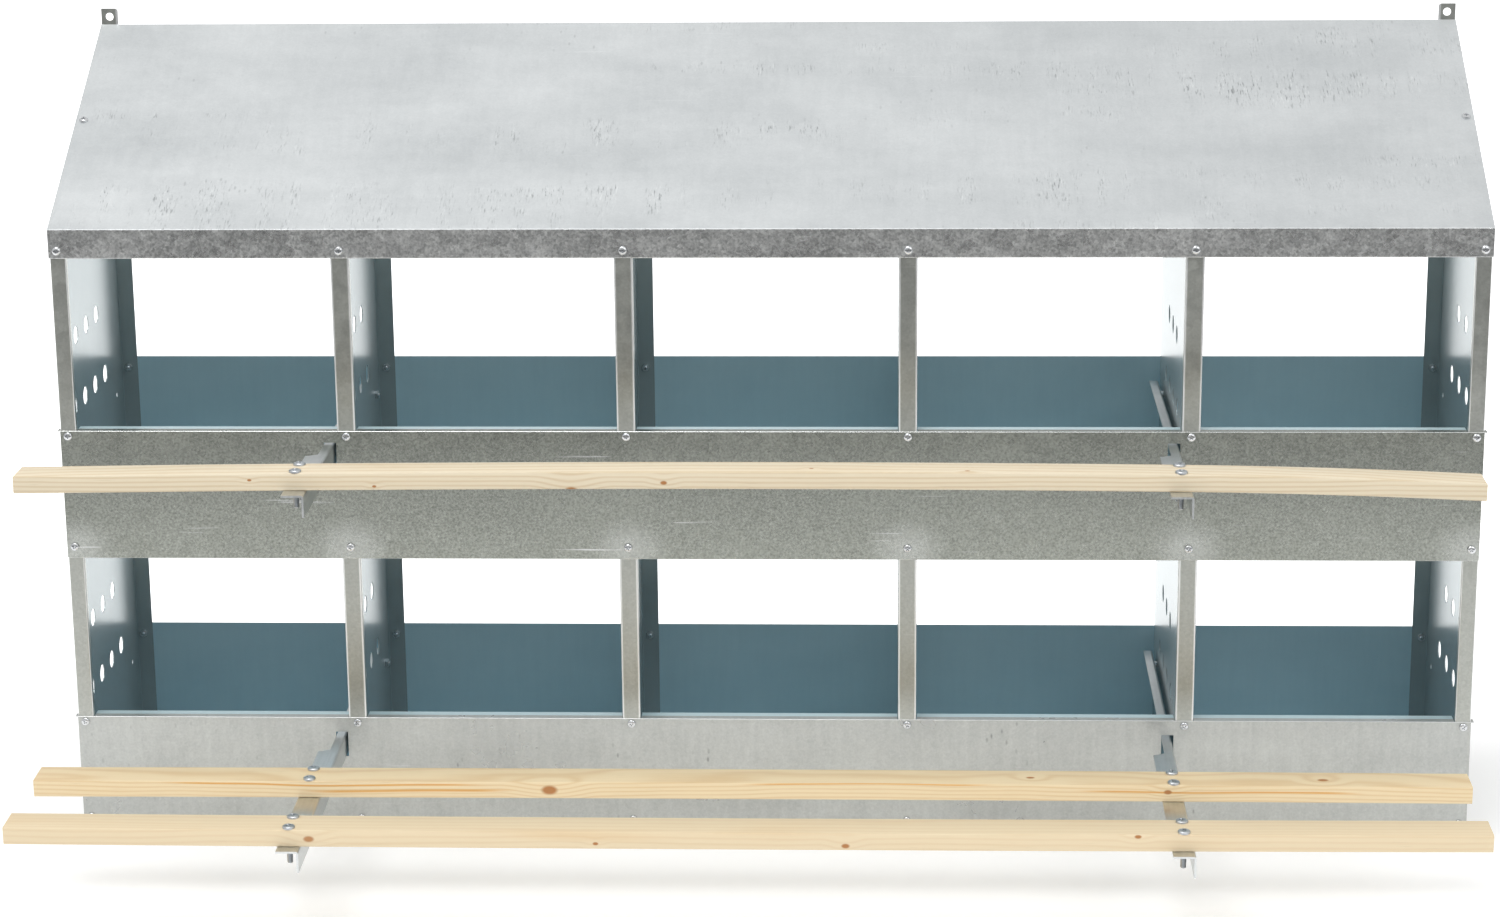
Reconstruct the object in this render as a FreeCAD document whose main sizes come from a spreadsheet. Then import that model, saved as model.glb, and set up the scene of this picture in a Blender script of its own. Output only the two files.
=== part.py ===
import FreeCAD, Part
import os
import re

import Sketcher

# Ten-hole laying nest in galvanised sheet steel, with pine landing perches.
#
# Frame: +X to the right seen from the front, +Y to the back, +Z up. The origin is on the ground,
# midway between the two side walls and midway between the tips of the lower perch arms and the
# back panels. Lengths are millimetres and angles are degrees.

# ---------------------------------------------------------------------------------------------
# Driving dimensions
# ---------------------------------------------------------------------------------------------
SIZES = (
    ("sheet", 1.0, "thickness of the galvanised sheet"),
    ("gap", 0.2, "play left between sheets that only lie against each other"),
    ("front_y", 6.0, "how far the front faces of the posts lie behind the origin"),
    ("body_width", 1449.0, "over the two side walls"),
    ("body_depth", 296.0, "posts' front faces to the rear folds' back faces"),
    ("eave_height", 655.0, "top of the roof at its front edge"),
    ("roof_rise", 165.0, "how much higher the roof is at its rear edge"),
    ("roof_width", 1450.0, "roof sheet, side to side"),
    ("lip_height", 30.0, "vertical lip along the roof's front edge"),
    ("lip_hem", 13.0, "sheet folded back behind the lip"),
    ("row_pitch", 309.0, "lower nest floor to upper nest floor"),
    ("nest_count", 5.0, "nests in a row"),
    ("post_width", 19.0, "front and rear folds of a divider"),
    ("wall_fold", 16.5, "front fold of a side wall"),
    ("rear_fold", 18.0, "rear fold of a side wall"),
    ("post_return", 6.0, "inward return along the free edge of a front fold"),
    ("edge_margin", 8.0, "side wall's outer face to the middle of its screws"),
    ("bend", 1.6, "outer radius of the folds"),
    ("tab_height", 17.5, "hanging tab above the roof's rear edge"),
    ("tab_hole_rise", 8.7, "hanging hole above the roof's rear edge"),
    ("tab_hole_radius", 4.25, "hanging hole"),
    ("tab_corner", 3.0, "rounded corners of the tab"),
    ("top_fold", 16.0, "inward fold along the sloping top edge of a side wall"),
    ("top_fold_start", 40.0, "from the posts' front faces"),
    ("top_fold_length", 215.0, "along the depth"),
    ("slope_screw_y", 151.0, "roof screw behind the posts' front faces"),
    ("vent_radius", 9.6, "ventilation hole"),
    ("vent_pitch", 48.2, "between ventilation holes along a row"),
    ("vent_low_y", 66.5, "first hole of the four in the lower row, from the front"),
    ("vent_low_z", 144.5, "lower row of holes above the nest floor level"),
    ("vent_high_y", 88.8, "first hole of the three in the upper row, from the front"),
    ("vent_high_z", 216.0, "upper row of holes above the nest floor level"),
    ("tail_hole_y", 261.0, "arm bolt hole, from the front"),
    ("tail_hole_z", 108.4, "arm bolt hole above the nest floor level"),
    ("panel_height", 136.0, "front panels"),
    ("panel_top_fold", 18.0, "folded back along the top of a front panel"),
    ("panel_bottom_fold", 20.0, "folded back under the nest floors"),
    ("panel_ear", 2.2, "end of the top fold beyond the side wall"),
    ("notch_play", 0.6, "clearance of the notches round posts and walls"),
    ("slot_width", 12.5, "arm slot in a front panel"),
    ("slot_height", 27.2, "arm slot in a front panel"),
    ("slot_inset", 1.3, "right edge of an arm slot, left of the divider's web"),
    ("slot_drop_upper", 12.2, "top of the upper panel to its slots"),
    ("slot_drop_lower", 15.8, "top of the lower panel to its slots"),
    ("back_height", 143.5, "back panels"),
    ("back_bottom_fold", 20.0, "folded forward under the nest floors"),
    ("floor_side", 14.0, "upturned sides of a nest floor"),
    ("floor_play", 0.8, "each side of a nest floor"),
    ("screw_radius", 2.0, "shank of the panel screws"),
    ("screw_head_radius", 4.4, "pan head of the panel screws"),
    ("screw_head_height", 3.0, "pan head of the panel screws"),
    ("screw_length", 8.0, "under the head"),
    ("hole_play", 0.3, "radius of a screw hole beyond its shank"),
    ("nut_flats", 7.0, "across the flats of the panel nuts"),
    ("nut_height", 3.2, "panel nuts"),
    ("lip_screw_rise", 8.0, "roof lip screws above the lip's lower edge"),
    ("panel_screw_drop", 5.6, "upper screws of a front panel below its top"),
    ("panel_screw_rise_upper", 12.4, "lower screws of the upper front panel above its bottom"),
    ("panel_screw_rise_lower", 24.5, "lower screws of the lower front panel above its bottom"),
    ("back_screw_drop", 12.2, "upper screws of a back panel below its top"),
    ("back_screw_rise", 24.0, "lower screws of a back panel above its bottom"),
    ("arm_sheet", 2.0, "thickness of a perch arm"),
    ("arm_leg", 22.0, "both legs of the arm's angle"),
    ("arm_neck", 10.0, "top leg of the arm behind its shoulder"),
    ("arm_shoulder_y", 47.0, "shoulder in front of the posts"),
    ("arm_tail_y", 271.0, "end of the arm behind the posts' front faces"),
    ("arm_bend", 2.6, "outer radius of the arm's fold"),
    ("arm_reach_upper", 196.0, "front end of an upper arm, in front of the posts"),
    ("arm_reach_lower", 312.0, "front end of a lower arm, in front of the posts"),
    ("arm_sag_lower", 1.35, "degrees by which the lower arms hang down at the front"),
    ("arm_spacer", 3.4, "spacer ring between an arm and its divider"),
    ("arm_spacer_radius", 5.0, "spacer ring between an arm and its divider"),
    ("tail_drop", 14.0, "tail bolt below the arm's top face"),
    ("tail_bolt_radius", 2.4, "shank of an arm bolt"),
    ("tail_bolt_head_radius", 4.75, "head of an arm bolt"),
    ("tail_bolt_length", 12.0, "under the head of an arm bolt"),
    ("tail_nut_flats", 8.0, "across the flats of an arm bolt's nut"),
    ("tail_nut_height", 3.8, "arm bolt's nut"),
    ("perch_length", 1430.0, "landing perches"),
    ("perch_depth", 38.0, "landing perches"),
    ("perch_height", 17.5, "landing perches"),
    ("perch_edge", 1.2, "rounding of the perches' long edges"),
    ("perch_shift", 16.0, "middle of the perches, left of the body's middle"),
    ("perch_rear_upper", 140.0, "rear edge of the upper perch, in front of the posts"),
    ("perch_rear_near", 136.0, "rear edge of the nearer lower perch"),
    ("perch_rear_far", 262.0, "rear edge of the farther lower perch"),
    ("bolt_inset", 5.8, "perch bolts from the perch's long edges"),
    ("bolt_radius", 2.9, "shank of a perch bolt"),
    ("bolt_head_radius", 6.1, "head of a perch bolt"),
    ("bolt_head_height", 3.0, "head of a perch bolt"),
    ("bolt_length", 36.0, "under the head of a perch bolt"),
    ("bolt_nut_flats", 10.0, "across the flats of a perch nut"),
    ("bolt_nut_height", 4.8, "perch nuts"),
)
ALIASES = [alias for alias, size, meaning in SIZES]

NEAR_ZERO = 1e-6
ROWS = ("lower", "upper")
# The dividers are counted from the left; the arms lie against the first and the last.
ARM_DIVIDERS = {"left": 1, "right": 4}

doc = FreeCAD.newDocument("laying_nest")
sheet_object = doc.addObject("Spreadsheet::Sheet", "Sizes")
for row_number, (alias, size, meaning) in enumerate(SIZES, start=1):
    sheet_object.set("A%d" % row_number, meaning)
    sheet_object.set("B%d" % row_number, str(size))
    sheet_object.setAlias("B%d" % row_number, alias)
doc.recompute()


# ---------------------------------------------------------------------------------------------
# Sizes as expressions
# ---------------------------------------------------------------------------------------------
def sized(rule):
    """Turn a rule such as 'body_depth - sheet' into an expression on the sheet's cells."""
    return re.sub(r"[a-z_]+", lambda word: "Sizes." + word.group(0)
                  if word.group(0) in ALIASES else word.group(0), str(rule))


def number(rule):
    """Work a rule out to a plain number."""
    return float(sheet_object.evalExpression(sized(rule)))


def bind(feature, **rules):
    """Bind each named size of a feature to its rule."""
    for name, rule in rules.items():
        feature.setExpression(name, sized(rule))


# Rules that several pieces share. The slope is the roof's rise along its depth.
SLOPE = "(roof_rise / body_depth)"
NEST_PITCH = "((body_width - 2 * edge_margin) / nest_count)"


def screw_x(post):
    """Middle of the screws in a post: 0 and 5 are the side walls, 1 to 4 the dividers."""
    return "(%d * %s - body_width / 2 + edge_margin)" % (post, NEST_PITCH)


def web_x(post):
    """Left face of a divider's web."""
    return "(%s - post_width / 2)" % screw_x(post)


def roof_under(depth):
    """Height of the roof's underside at a depth behind the posts' front faces."""
    return "(eave_height - 1.3 * sheet - gap + %s * (%s + 2 * sheet))" % (SLOPE, depth)


# ---------------------------------------------------------------------------------------------
# Building blocks
# ---------------------------------------------------------------------------------------------
def origin_plane(body, role):
    """One of a body's own origin planes."""
    return [item for item in body.Origin.OriginFeatures if item.Role == role][0]


def new_body(label):
    """An empty body with its label."""
    body = doc.addObject("PartDesign::Body", label)
    body.Label = label
    return body


def new_sketch(body, role, name, offset="0"):
    """A sketch on one of the body's origin planes, moved along the plane's normal."""
    sketch = body.newObject("Sketcher::SketchObject", name)
    sketch.AttachmentSupport = [(origin_plane(body, role), "")]
    sketch.MapMode = "FlatFace"
    bind(sketch, **{".AttachmentOffset.Base.z": offset})
    return sketch


def outline(sketch, points):
    """Add a closed outline of straight sides through corners given as pairs of rules."""
    spots = [FreeCAD.Vector(number(a), number(b), 0) for a, b in points]
    first = sketch.GeometryCount
    count = len(points)
    for side in range(count):
        sketch.addGeometry(Part.LineSegment(spots[side], spots[(side + 1) % count]), False)
    for side in range(count):
        follower = first + (side + 1) % count
        sketch.addConstraint(Sketcher.Constraint("Coincident", first + side, 2, follower, 1))
    for side, (a, b) in enumerate(points):
        for kind, rule in (("DistanceX", a), ("DistanceY", b)):
            constraint = Sketcher.Constraint(kind, -1, 1, first + side, 1, number(rule))
            index = sketch.addConstraint(constraint)
            sketch.setExpression("Constraints[%d]" % index, sized(rule))


def box_outline(sketch, low_a, low_b, high_a, high_b):
    """Add a rectangle between two corners."""
    outline(sketch, [(low_a, low_b), (high_a, low_b), (high_a, high_b), (low_a, high_b)])


def ring(sketch, a, b, radius):
    """Add a circle about a point."""
    centre = FreeCAD.Vector(number(a), number(b), 0)
    circle = Part.Circle(centre, FreeCAD.Vector(0, 0, 1), number(radius))
    index = sketch.addGeometry(circle, False)
    for kind, rule in (("DistanceX", a), ("DistanceY", b)):
        place = sketch.addConstraint(Sketcher.Constraint(kind, -1, 1, index, 3, number(rule)))
        sketch.setExpression("Constraints[%d]" % place, sized(rule))
    size = sketch.addConstraint(Sketcher.Constraint("Radius", index, number(radius)))
    sketch.setExpression("Constraints[%d]" % size, sized(radius))


def pad(body, sketch, length, back_to_front=False):
    """Extrude a sketch along its normal, or against it."""
    feature = body.newObject("PartDesign::Pad", sketch.Name + "_pad")
    feature.Profile = sketch
    bind(feature, Length=length)
    feature.Reversed = back_to_front
    sketch.Visibility = False
    doc.recompute()
    return feature


def pocket(body, sketch, length):
    """Cut a sketch to both sides of its plane, and make sure that it removes material."""
    before = body.Shape.Volume
    feature = body.newObject("PartDesign::Pocket", sketch.Name + "_pocket")
    feature.Profile = sketch
    feature.SideType = "Symmetric"
    bind(feature, Length=length)
    sketch.Visibility = False
    doc.recompute()
    if body.Shape.Volume > before - NEAR_ZERO:
        raise RuntimeError("%s removes nothing from %s" % (feature.Name, body.Label))
    return feature


def straight_edges(shape, test):
    """Names of the straight edges whose two ends pass a test."""
    names = []
    for index, edge in enumerate(shape.Edges, start=1):
        ends = [vertex.Point for vertex in edge.Vertexes]
        if len(ends) == 2 and isinstance(edge.Curve, Part.Line) and test(ends[0], ends[1]):
            names.append("Edge%d" % index)
    return names


def round_edges(body, radius, test, name):
    """Round the straight edges of a body that pass a test."""
    names = straight_edges(body.Shape, test)
    if not names:
        raise RuntimeError("%s finds no edge on %s" % (name, body.Label))
    base = body.Tip
    feature = body.newObject("PartDesign::Fillet", name)
    feature.Base = (base, names)
    bind(feature, Radius=radius)
    doc.recompute()
    return feature


def near(first, second):
    """Whether two numbers are the same size."""
    return abs(first - second) < 0.001


def place(node, x="0", y="0", z="0"):
    """Put a node at a place given by rules, counted from the posts' front faces and the base."""
    bind(node, **{".Placement.Base.x": x, ".Placement.Base.y": "front_y + " + y,
                  ".Placement.Base.z": z})
    doc.recompute()


# ---------------------------------------------------------------------------------------------
# Side walls and dividers: one sheet each, folded to a C in plan
# ---------------------------------------------------------------------------------------------
def folded_upright(label, front_fold, rear_fold, has_tab):
    """An upright whose web lies in x = 0 to the sheet's thickness, with both folds to +X."""
    body = new_body(label)
    plan = new_sketch(body, "XY_Plane", label + "_plan")
    outline(plan, [
        ("0", "0"), (front_fold, "0"), (front_fold, "post_return"),
        (front_fold + " - sheet", "post_return"), (front_fold + " - sheet", "sheet"),
        ("sheet", "sheet"), ("sheet", "body_depth - sheet"), (rear_fold, "body_depth - sheet"),
        (rear_fold, "body_depth"), ("0", "body_depth")])
    top = "eave_height + roof_rise + tab_height"
    pad(body, plan, top)

    depth, width, thick = number("body_depth"), number(front_fold), number("sheet")
    outer = {(0.0, 0.0), (0.0, depth), (width, 0.0)}
    inner = {(thick, thick), (thick, depth - thick), (width - thick, thick)}

    def upright_at(corners):
        return lambda a, b: near(a.x, b.x) and near(a.y, b.y) and any(
            near(a.x, x) and near(a.y, y) for x, y in corners)

    round_edges(body, "bend", upright_at(outer), label + "_outer_bends")
    round_edges(body, "bend - sheet", upright_at(inner), label + "_inner_bends")

    # The sheet ends under the sloping roof; a side wall's rear fold goes on up as a tab.
    cut_to = "body_depth - sheet" if has_tab else "body_depth + 5"
    crown = new_sketch(body, "YZ_Plane", label + "_crown")
    outline(crown, [
        ("-5", roof_under("-5")), (cut_to, roof_under(cut_to)),
        (cut_to, top + " + 5"), ("-5", top + " + 5")])
    pocket(body, crown, "4 * post_width")

    vents = new_sketch(body, "YZ_Plane", label + "_vents")
    for row in range(len(ROWS)):
        base = "%d * row_pitch" % row
        for step in range(4):
            ring(vents, "vent_low_y + %d * vent_pitch" % step, base + " + vent_low_z",
                 "vent_radius")
        for step in range(3):
            ring(vents, "vent_high_y + %d * vent_pitch" % step, base + " + vent_high_z",
                 "vent_radius")
        ring(vents, "tail_hole_y", base + " + tail_hole_z", "tail_bolt_radius + hole_play")
    pocket(body, vents, "3 * sheet")
    return body


def upright_screw_holes(body, label, hole_x, has_tab):
    """Screw holes through the front and rear folds of an upright."""
    front = new_sketch(body, "XZ_Plane", label + "_front_holes")
    for rule in FRONT_SCREW_HEIGHTS:
        ring(front, hole_x, rule, "screw_radius + hole_play")
    pocket(body, front, "4 * sheet")
    rear = new_sketch(body, "XZ_Plane", label + "_rear_holes", "-body_depth")
    for rule in BACK_SCREW_HEIGHTS:
        ring(rear, hole_x, rule, "screw_radius + hole_play")
    if has_tab:
        ring(rear, "edge_margin + sheet", "eave_height + roof_rise + tab_hole_rise",
             "tab_hole_radius")
    pocket(body, rear, "4 * sheet")


LIP_SCREW_HEIGHT = "eave_height - lip_height + lip_screw_rise"
PANEL_SCREWS = {
    "lower": ("panel_screw_rise_lower", "panel_height - panel_screw_drop"),
    "upper": ("row_pitch + panel_screw_rise_upper",
              "row_pitch + panel_height - panel_screw_drop"),
}
BACK_SCREWS = {
    "lower": ("back_screw_rise", "back_height - back_screw_drop"),
    "upper": ("row_pitch + back_screw_rise", "row_pitch + back_height - back_screw_drop"),
}
FRONT_SCREW_HEIGHTS = PANEL_SCREWS["lower"] + PANEL_SCREWS["upper"] + (LIP_SCREW_HEIGHT,)
BACK_SCREW_HEIGHTS = BACK_SCREWS["lower"] + BACK_SCREWS["upper"]


def side_wall():
    """The left side wall, which the right one mirrors."""
    label = "left_side_wall"
    body = folded_upright(label, "wall_fold", "rear_fold", True)
    upright_screw_holes(body, label, "edge_margin", True)

    # A fold along the sloping top carries the roof screw.
    start, finish = "top_fold_start", "top_fold_start + top_fold_length"
    ledge = new_sketch(body, "YZ_Plane", label + "_ledge")
    outline(ledge, [
        (start, roof_under(start) + " - sheet"), (finish, roof_under(finish) + " - sheet"),
        (finish, roof_under(finish)), (start, roof_under(start))])
    pad(body, ledge, "top_fold")
    screw = new_sketch(body, "XY_Plane", label + "_ledge_hole",
                       roof_under("slope_screw_y"))
    ring(screw, "edge_margin", "slope_screw_y", "screw_radius + 2 * hole_play")
    pocket(body, screw, "8 * sheet")

    # The tab's top corners are rounded.
    top = number("eave_height + roof_rise + tab_height")
    round_edges(body, "tab_corner",
                lambda a, b: near(a.z, top) and near(b.z, top) and near(a.x, b.x)
                and abs(a.y - b.y) < 2 * number("sheet"), label + "_tab_corners")
    place(body, x="-body_width / 2")
    return body


left_side_wall = side_wall()
right_side_wall = doc.addObject("Part::Mirroring", "right_side_wall")
right_side_wall.Label = "right_side_wall"
right_side_wall.Source = left_side_wall
right_side_wall.Normal = FreeCAD.Vector(1, 0, 0)

dividers = {}
for post in range(1, int(number("nest_count"))):
    divider_label = "divider_%d" % post
    divider = folded_upright(divider_label, "post_width", "post_width", False)
    upright_screw_holes(divider, divider_label, "post_width / 2", False)
    place(divider, x=web_x(post))
    dividers[post] = divider


# ---------------------------------------------------------------------------------------------
# Roof
# ---------------------------------------------------------------------------------------------
def roof():
    """One sheet: slope, front lip, and the hem folded back behind the lip."""
    label = "roof_panel"
    body = new_body(label)
    rear = "body_depth - sheet - gap"
    rear_top = "(eave_height + %s * (%s + 2 * sheet))" % (SLOPE, rear)
    side = new_sketch(body, "YZ_Plane", label + "_side")
    outline(side, [
        ("-2 * sheet", "eave_height"), (rear, rear_top), (rear, rear_top + " - 1.14 * sheet"),
        ("-sheet", "eave_height + %s * sheet - 1.14 * sheet" % SLOPE),
        ("-sheet", "eave_height - lip_height + lip_hem"),
        ("0", "eave_height - lip_height + lip_hem"), ("0", "eave_height - lip_height"),
        ("-2 * sheet", "eave_height - lip_height")])
    pad(body, side, "roof_width")
    front, eave = number("-2 * sheet"), number("eave_height")
    low = number("eave_height - lip_height")
    round_edges(body, "bend", lambda a, b: near(a.y, front) and near(b.y, front)
                and near(a.z, eave) and near(b.z, eave), label + "_eave_bend")
    round_edges(body, "0.95 * sheet", lambda a, b: near(a.z, low) and near(b.z, low)
                and near(a.y, b.y), label + "_hem_bend")
    lip_holes = new_sketch(body, "XZ_Plane", label + "_lip_holes")
    for post in range(int(number("nest_count")) + 1):
        ring(lip_holes, "roof_width / 2 + " + screw_x(post), LIP_SCREW_HEIGHT,
             "screw_radius + hole_play")
    pocket(body, lip_holes, "5 * sheet")
    slope_holes = new_sketch(body, "XY_Plane", label + "_slope_holes",
                             roof_under("slope_screw_y"))
    for post in (0, int(number("nest_count"))):
        ring(slope_holes, "roof_width / 2 + " + screw_x(post), "slope_screw_y",
             "screw_radius + 2 * hole_play")
    pocket(body, slope_holes, "8 * sheet")
    place(body, x="-roof_width / 2")
    return body


roof_panel = roof()


# ---------------------------------------------------------------------------------------------
# Front and back panels
# ---------------------------------------------------------------------------------------------
def notch_spans():
    """Left and right sides of the notches that clear the posts, as rules."""
    last = int(number("nest_count"))
    spans = [("-body_width / 2 - notch_play", "-body_width / 2 + wall_fold + notch_play")]
    for post in range(1, last):
        spans.append((web_x(post) + " - notch_play",
                      web_x(post) + " + post_width + notch_play"))
    spans.append(("body_width / 2 - wall_fold - notch_play", "body_width / 2 + notch_play"))
    return spans


def front_panel(row, level, slot_drop):
    """A low front whose top and bottom edges are folded back, notched round the posts."""
    label = "%s_front_panel" % row
    body = new_body(label)
    face = new_sketch(body, "XZ_Plane", label + "_face")
    box_outline(face, "-body_width / 2", "0", "body_width / 2", "panel_height")
    pad(body, face, "sheet")
    top = new_sketch(body, "XY_Plane", label + "_top_fold", "panel_height - sheet")
    box_outline(top, "-body_width / 2 - panel_ear - notch_play", "-sheet",
                "body_width / 2 + panel_ear + notch_play", "panel_top_fold")
    pad(body, top, "sheet")
    bottom = new_sketch(body, "XY_Plane", label + "_bottom_fold")
    box_outline(bottom, "-body_width / 2", "-sheet", "body_width / 2", "panel_bottom_fold")
    pad(body, bottom, "sheet")
    notches = new_sketch(body, "XY_Plane", label + "_notches", "panel_height / 2")
    for low, high in notch_spans():
        box_outline(notches, low, "0", high, "panel_bottom_fold + 5")
    pocket(body, notches, "panel_height + 20")
    ears = new_sketch(body, "XY_Plane", label + "_ears", "panel_height")
    for side in ("-", ""):
        inner = "%sbody_width / 2" % side
        reach = "%s(body_width / 2 + panel_ear + 4)" % side
        box_outline(ears, inner, "8 * sheet", reach, "panel_bottom_fold + 5")
    pocket(body, ears, "6 * sheet")
    face_y = number("-sheet")
    heights = (0.0, number("panel_height"))
    round_edges(body, "0.9 * sheet", lambda a, b: near(a.y, face_y) and near(b.y, face_y)
                and near(a.z, b.z) and any(near(a.z, z) for z in heights)
                and abs(a.x - b.x) > number("body_width") / 2, label + "_bends")
    openings = new_sketch(body, "XZ_Plane", label + "_openings")
    for post in range(int(number("nest_count")) + 1):
        for rule in PANEL_SCREWS[row]:
            ring(openings, screw_x(post), "%s - %s" % (rule, level), "screw_radius + hole_play")
    for post in ARM_DIVIDERS.values():
        right = web_x(post) + " - slot_inset"
        box_outline(openings, right + " - slot_width",
                    "panel_height - %s - slot_height" % slot_drop,
                    right, "panel_height - %s" % slot_drop)
    pocket(body, openings, "4 * sheet")
    place(body, z=level)
    return body


def back_panel(row, level):
    """A low strip behind the rear folds, folded forward under the floors."""
    label = "%s_back_panel" % row
    body = new_body(label)
    side = new_sketch(body, "YZ_Plane", label + "_side")
    outline(side, [
        ("-back_bottom_fold", "0"), ("sheet", "0"), ("sheet", "back_height"),
        ("0", "back_height"), ("0", "sheet"), ("-back_bottom_fold", "sheet")])
    pad(body, side, "body_width")
    outer = number("sheet")
    round_edges(body, "bend", lambda a, b: near(a.z, 0) and near(b.z, 0)
                and near(a.y, outer) and near(b.y, outer), label + "_bend")
    notches = new_sketch(body, "XY_Plane", label + "_notches")
    for low, high in notch_spans():
        box_outline(notches, "body_width / 2 + " + low, "-back_bottom_fold - 5",
                    "body_width / 2 + " + high, "0")
    pocket(body, notches, "4 * sheet")
    holes = new_sketch(body, "XZ_Plane", label + "_holes")
    for post in range(int(number("nest_count")) + 1):
        for rule in BACK_SCREWS[row]:
            ring(holes, "body_width / 2 + " + screw_x(post), "%s - %s" % (rule, level),
                 "screw_radius + hole_play")
    pocket(body, holes, "6 * sheet")
    place(body, x="-body_width / 2", y="body_depth", z=level)
    return body


LEVELS = {"lower": "0", "upper": "row_pitch"}
SLOT_DROPS = {"lower": "slot_drop_lower", "upper": "slot_drop_upper"}
front_panels = {row: front_panel(row, LEVELS[row], SLOT_DROPS[row]) for row in ROWS}
back_panels = {row: back_panel(row, LEVELS[row]) for row in ROWS}


# ---------------------------------------------------------------------------------------------
# Nest floors: one pan per nest, lying on the bottom folds of the panels
# ---------------------------------------------------------------------------------------------
def nest_floor(row, nest):
    """A floor pan with upturned sides, between two uprights."""
    label = "nest_floor_%s_%d" % (row, nest)
    last = int(number("nest_count"))
    left = "-body_width / 2 + sheet" if nest == 1 else web_x(nest - 1) + " + sheet"
    right = "body_width / 2 - sheet" if nest == last else web_x(nest)
    width = "(%s - (%s) - 2 * floor_play)" % (right, left)
    body = new_body(label)
    front = new_sketch(body, "XZ_Plane", label + "_front")
    outline(front, [
        ("0", "0"), (width, "0"), (width, "floor_side"), (width + " - sheet", "floor_side"),
        (width + " - sheet", "sheet"), ("sheet", "sheet"), ("sheet", "floor_side"),
        ("0", "floor_side")])
    pad(body, front, "body_depth - 2 * sheet - post_return - 2 * floor_play", True)
    wide = number(width)
    round_edges(body, "bend", lambda a, b: near(a.z, 0) and near(b.z, 0) and near(a.x, b.x)
                and (near(a.x, 0) or near(a.x, wide)), label + "_bends")
    place(body, x="%s + floor_play" % left, y="post_return + floor_play",
          z="%s + sheet" % LEVELS[row])
    return body


for nest_row in ROWS:
    for nest_number in range(1, int(number("nest_count")) + 1):
        nest_floor(nest_row, nest_number)


# ---------------------------------------------------------------------------------------------
# Perch sets: two arms, their perches and bolts. A set hangs from the bolts at its arms' tails,
# so its pieces share one placement: built about the tail bolt, then tilted by the set's sag.
# ---------------------------------------------------------------------------------------------
PERCHES = {
    "upper": {"upper_perch": "perch_rear_upper"},
    "lower": {"lower_rear_perch": "perch_rear_near", "lower_front_perch": "perch_rear_far"},
}
REACHES = {"lower": "arm_reach_lower", "upper": "arm_reach_upper"}
SAGS = {"lower": "arm_sag_lower", "upper": "0"}
ARM_BOLT_X = "(-arm_leg / 2)"


def hang(node, row):
    """Tilt a piece of a perch set about the line of its tail bolts."""
    node.setExpression(".Placement.Rotation.Axis.x", "1")
    node.setExpression(".Placement.Rotation.Axis.y", "0")
    node.setExpression(".Placement.Rotation.Axis.z", "0")
    node.setExpression(".Placement.Rotation.Angle", sized(SAGS[row]))
    place(node, x="0", y="tail_hole_y", z="%s + tail_hole_z" % LEVELS[row])


def arm_face(side):
    """Right-hand face of an arm, beside its divider and spacer washer."""
    return "(%s - arm_spacer)" % web_x(ARM_DIVIDERS[side])


def perch_arm(row, side):
    """A folded angle, narrowed behind its shoulder to pass the front panel's slot."""
    label = "%s_%s_perch_arm" % (row, side)
    reach = REACHES[row]
    body = new_body(label)
    face = arm_face(side)
    top = "tail_drop"
    end = new_sketch(body, "XZ_Plane", label + "_end", "tail_hole_y + " + reach)
    outline(end, [
        (face, top), (face, top + " - arm_leg"),
        (face + " - arm_sheet", top + " - arm_leg"),
        (face + " - arm_sheet", top + " - arm_sheet"),
        (face + " - arm_leg", top + " - arm_sheet"), (face + " - arm_leg", top)])
    pad(body, end, "%s + arm_tail_y" % reach, True)
    outer_x, outer_z, inner = number(face), number(top), number("arm_sheet")
    round_edges(body, "arm_bend", lambda a, b: near(a.x, b.x) and near(a.z, b.z)
                and near(a.x, outer_x) and near(a.z, outer_z), label + "_outer_bend")
    round_edges(body, "arm_bend - arm_sheet", lambda a, b: near(a.x, b.x)
                and near(a.z, b.z) and near(a.x, outer_x - inner)
                and near(a.z, outer_z - inner), label + "_inner_bend")
    trim = new_sketch(body, "XY_Plane", label + "_neck", top)
    outline(trim, [
        (face + " - arm_leg - 5", "-tail_hole_y - arm_shoulder_y"),
        (face + " - arm_leg + 3", "-tail_hole_y - arm_shoulder_y"),
        (face + " - arm_neck", "-tail_hole_y - arm_shoulder_y + 5"),
        (face + " - arm_neck", "20"), (face + " - arm_leg - 5", "20")])
    pocket(body, trim, "3 * arm_sheet")
    bolts = new_sketch(body, "XY_Plane", label + "_bolt_holes", top)
    for rear_edge in PERCHES[row].values():
        for spot in bolt_spots(rear_edge):
            ring(bolts, face + " + " + ARM_BOLT_X, spot, "bolt_radius + hole_play")
    pocket(body, bolts, "3 * arm_sheet")
    tail = new_sketch(body, "YZ_Plane", label + "_tail_hole", face)
    ring(tail, "0", "0", "tail_bolt_radius + hole_play")
    pocket(body, tail, "3 * arm_sheet")
    hang(body, row)
    return body


def bolt_spots(rear_edge):
    """Places of the two bolts across a perch, from the tail bolts."""
    rear = "-tail_hole_y - %s" % rear_edge
    return (rear + " - bolt_inset", rear + " - perch_depth + bolt_inset")


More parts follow.
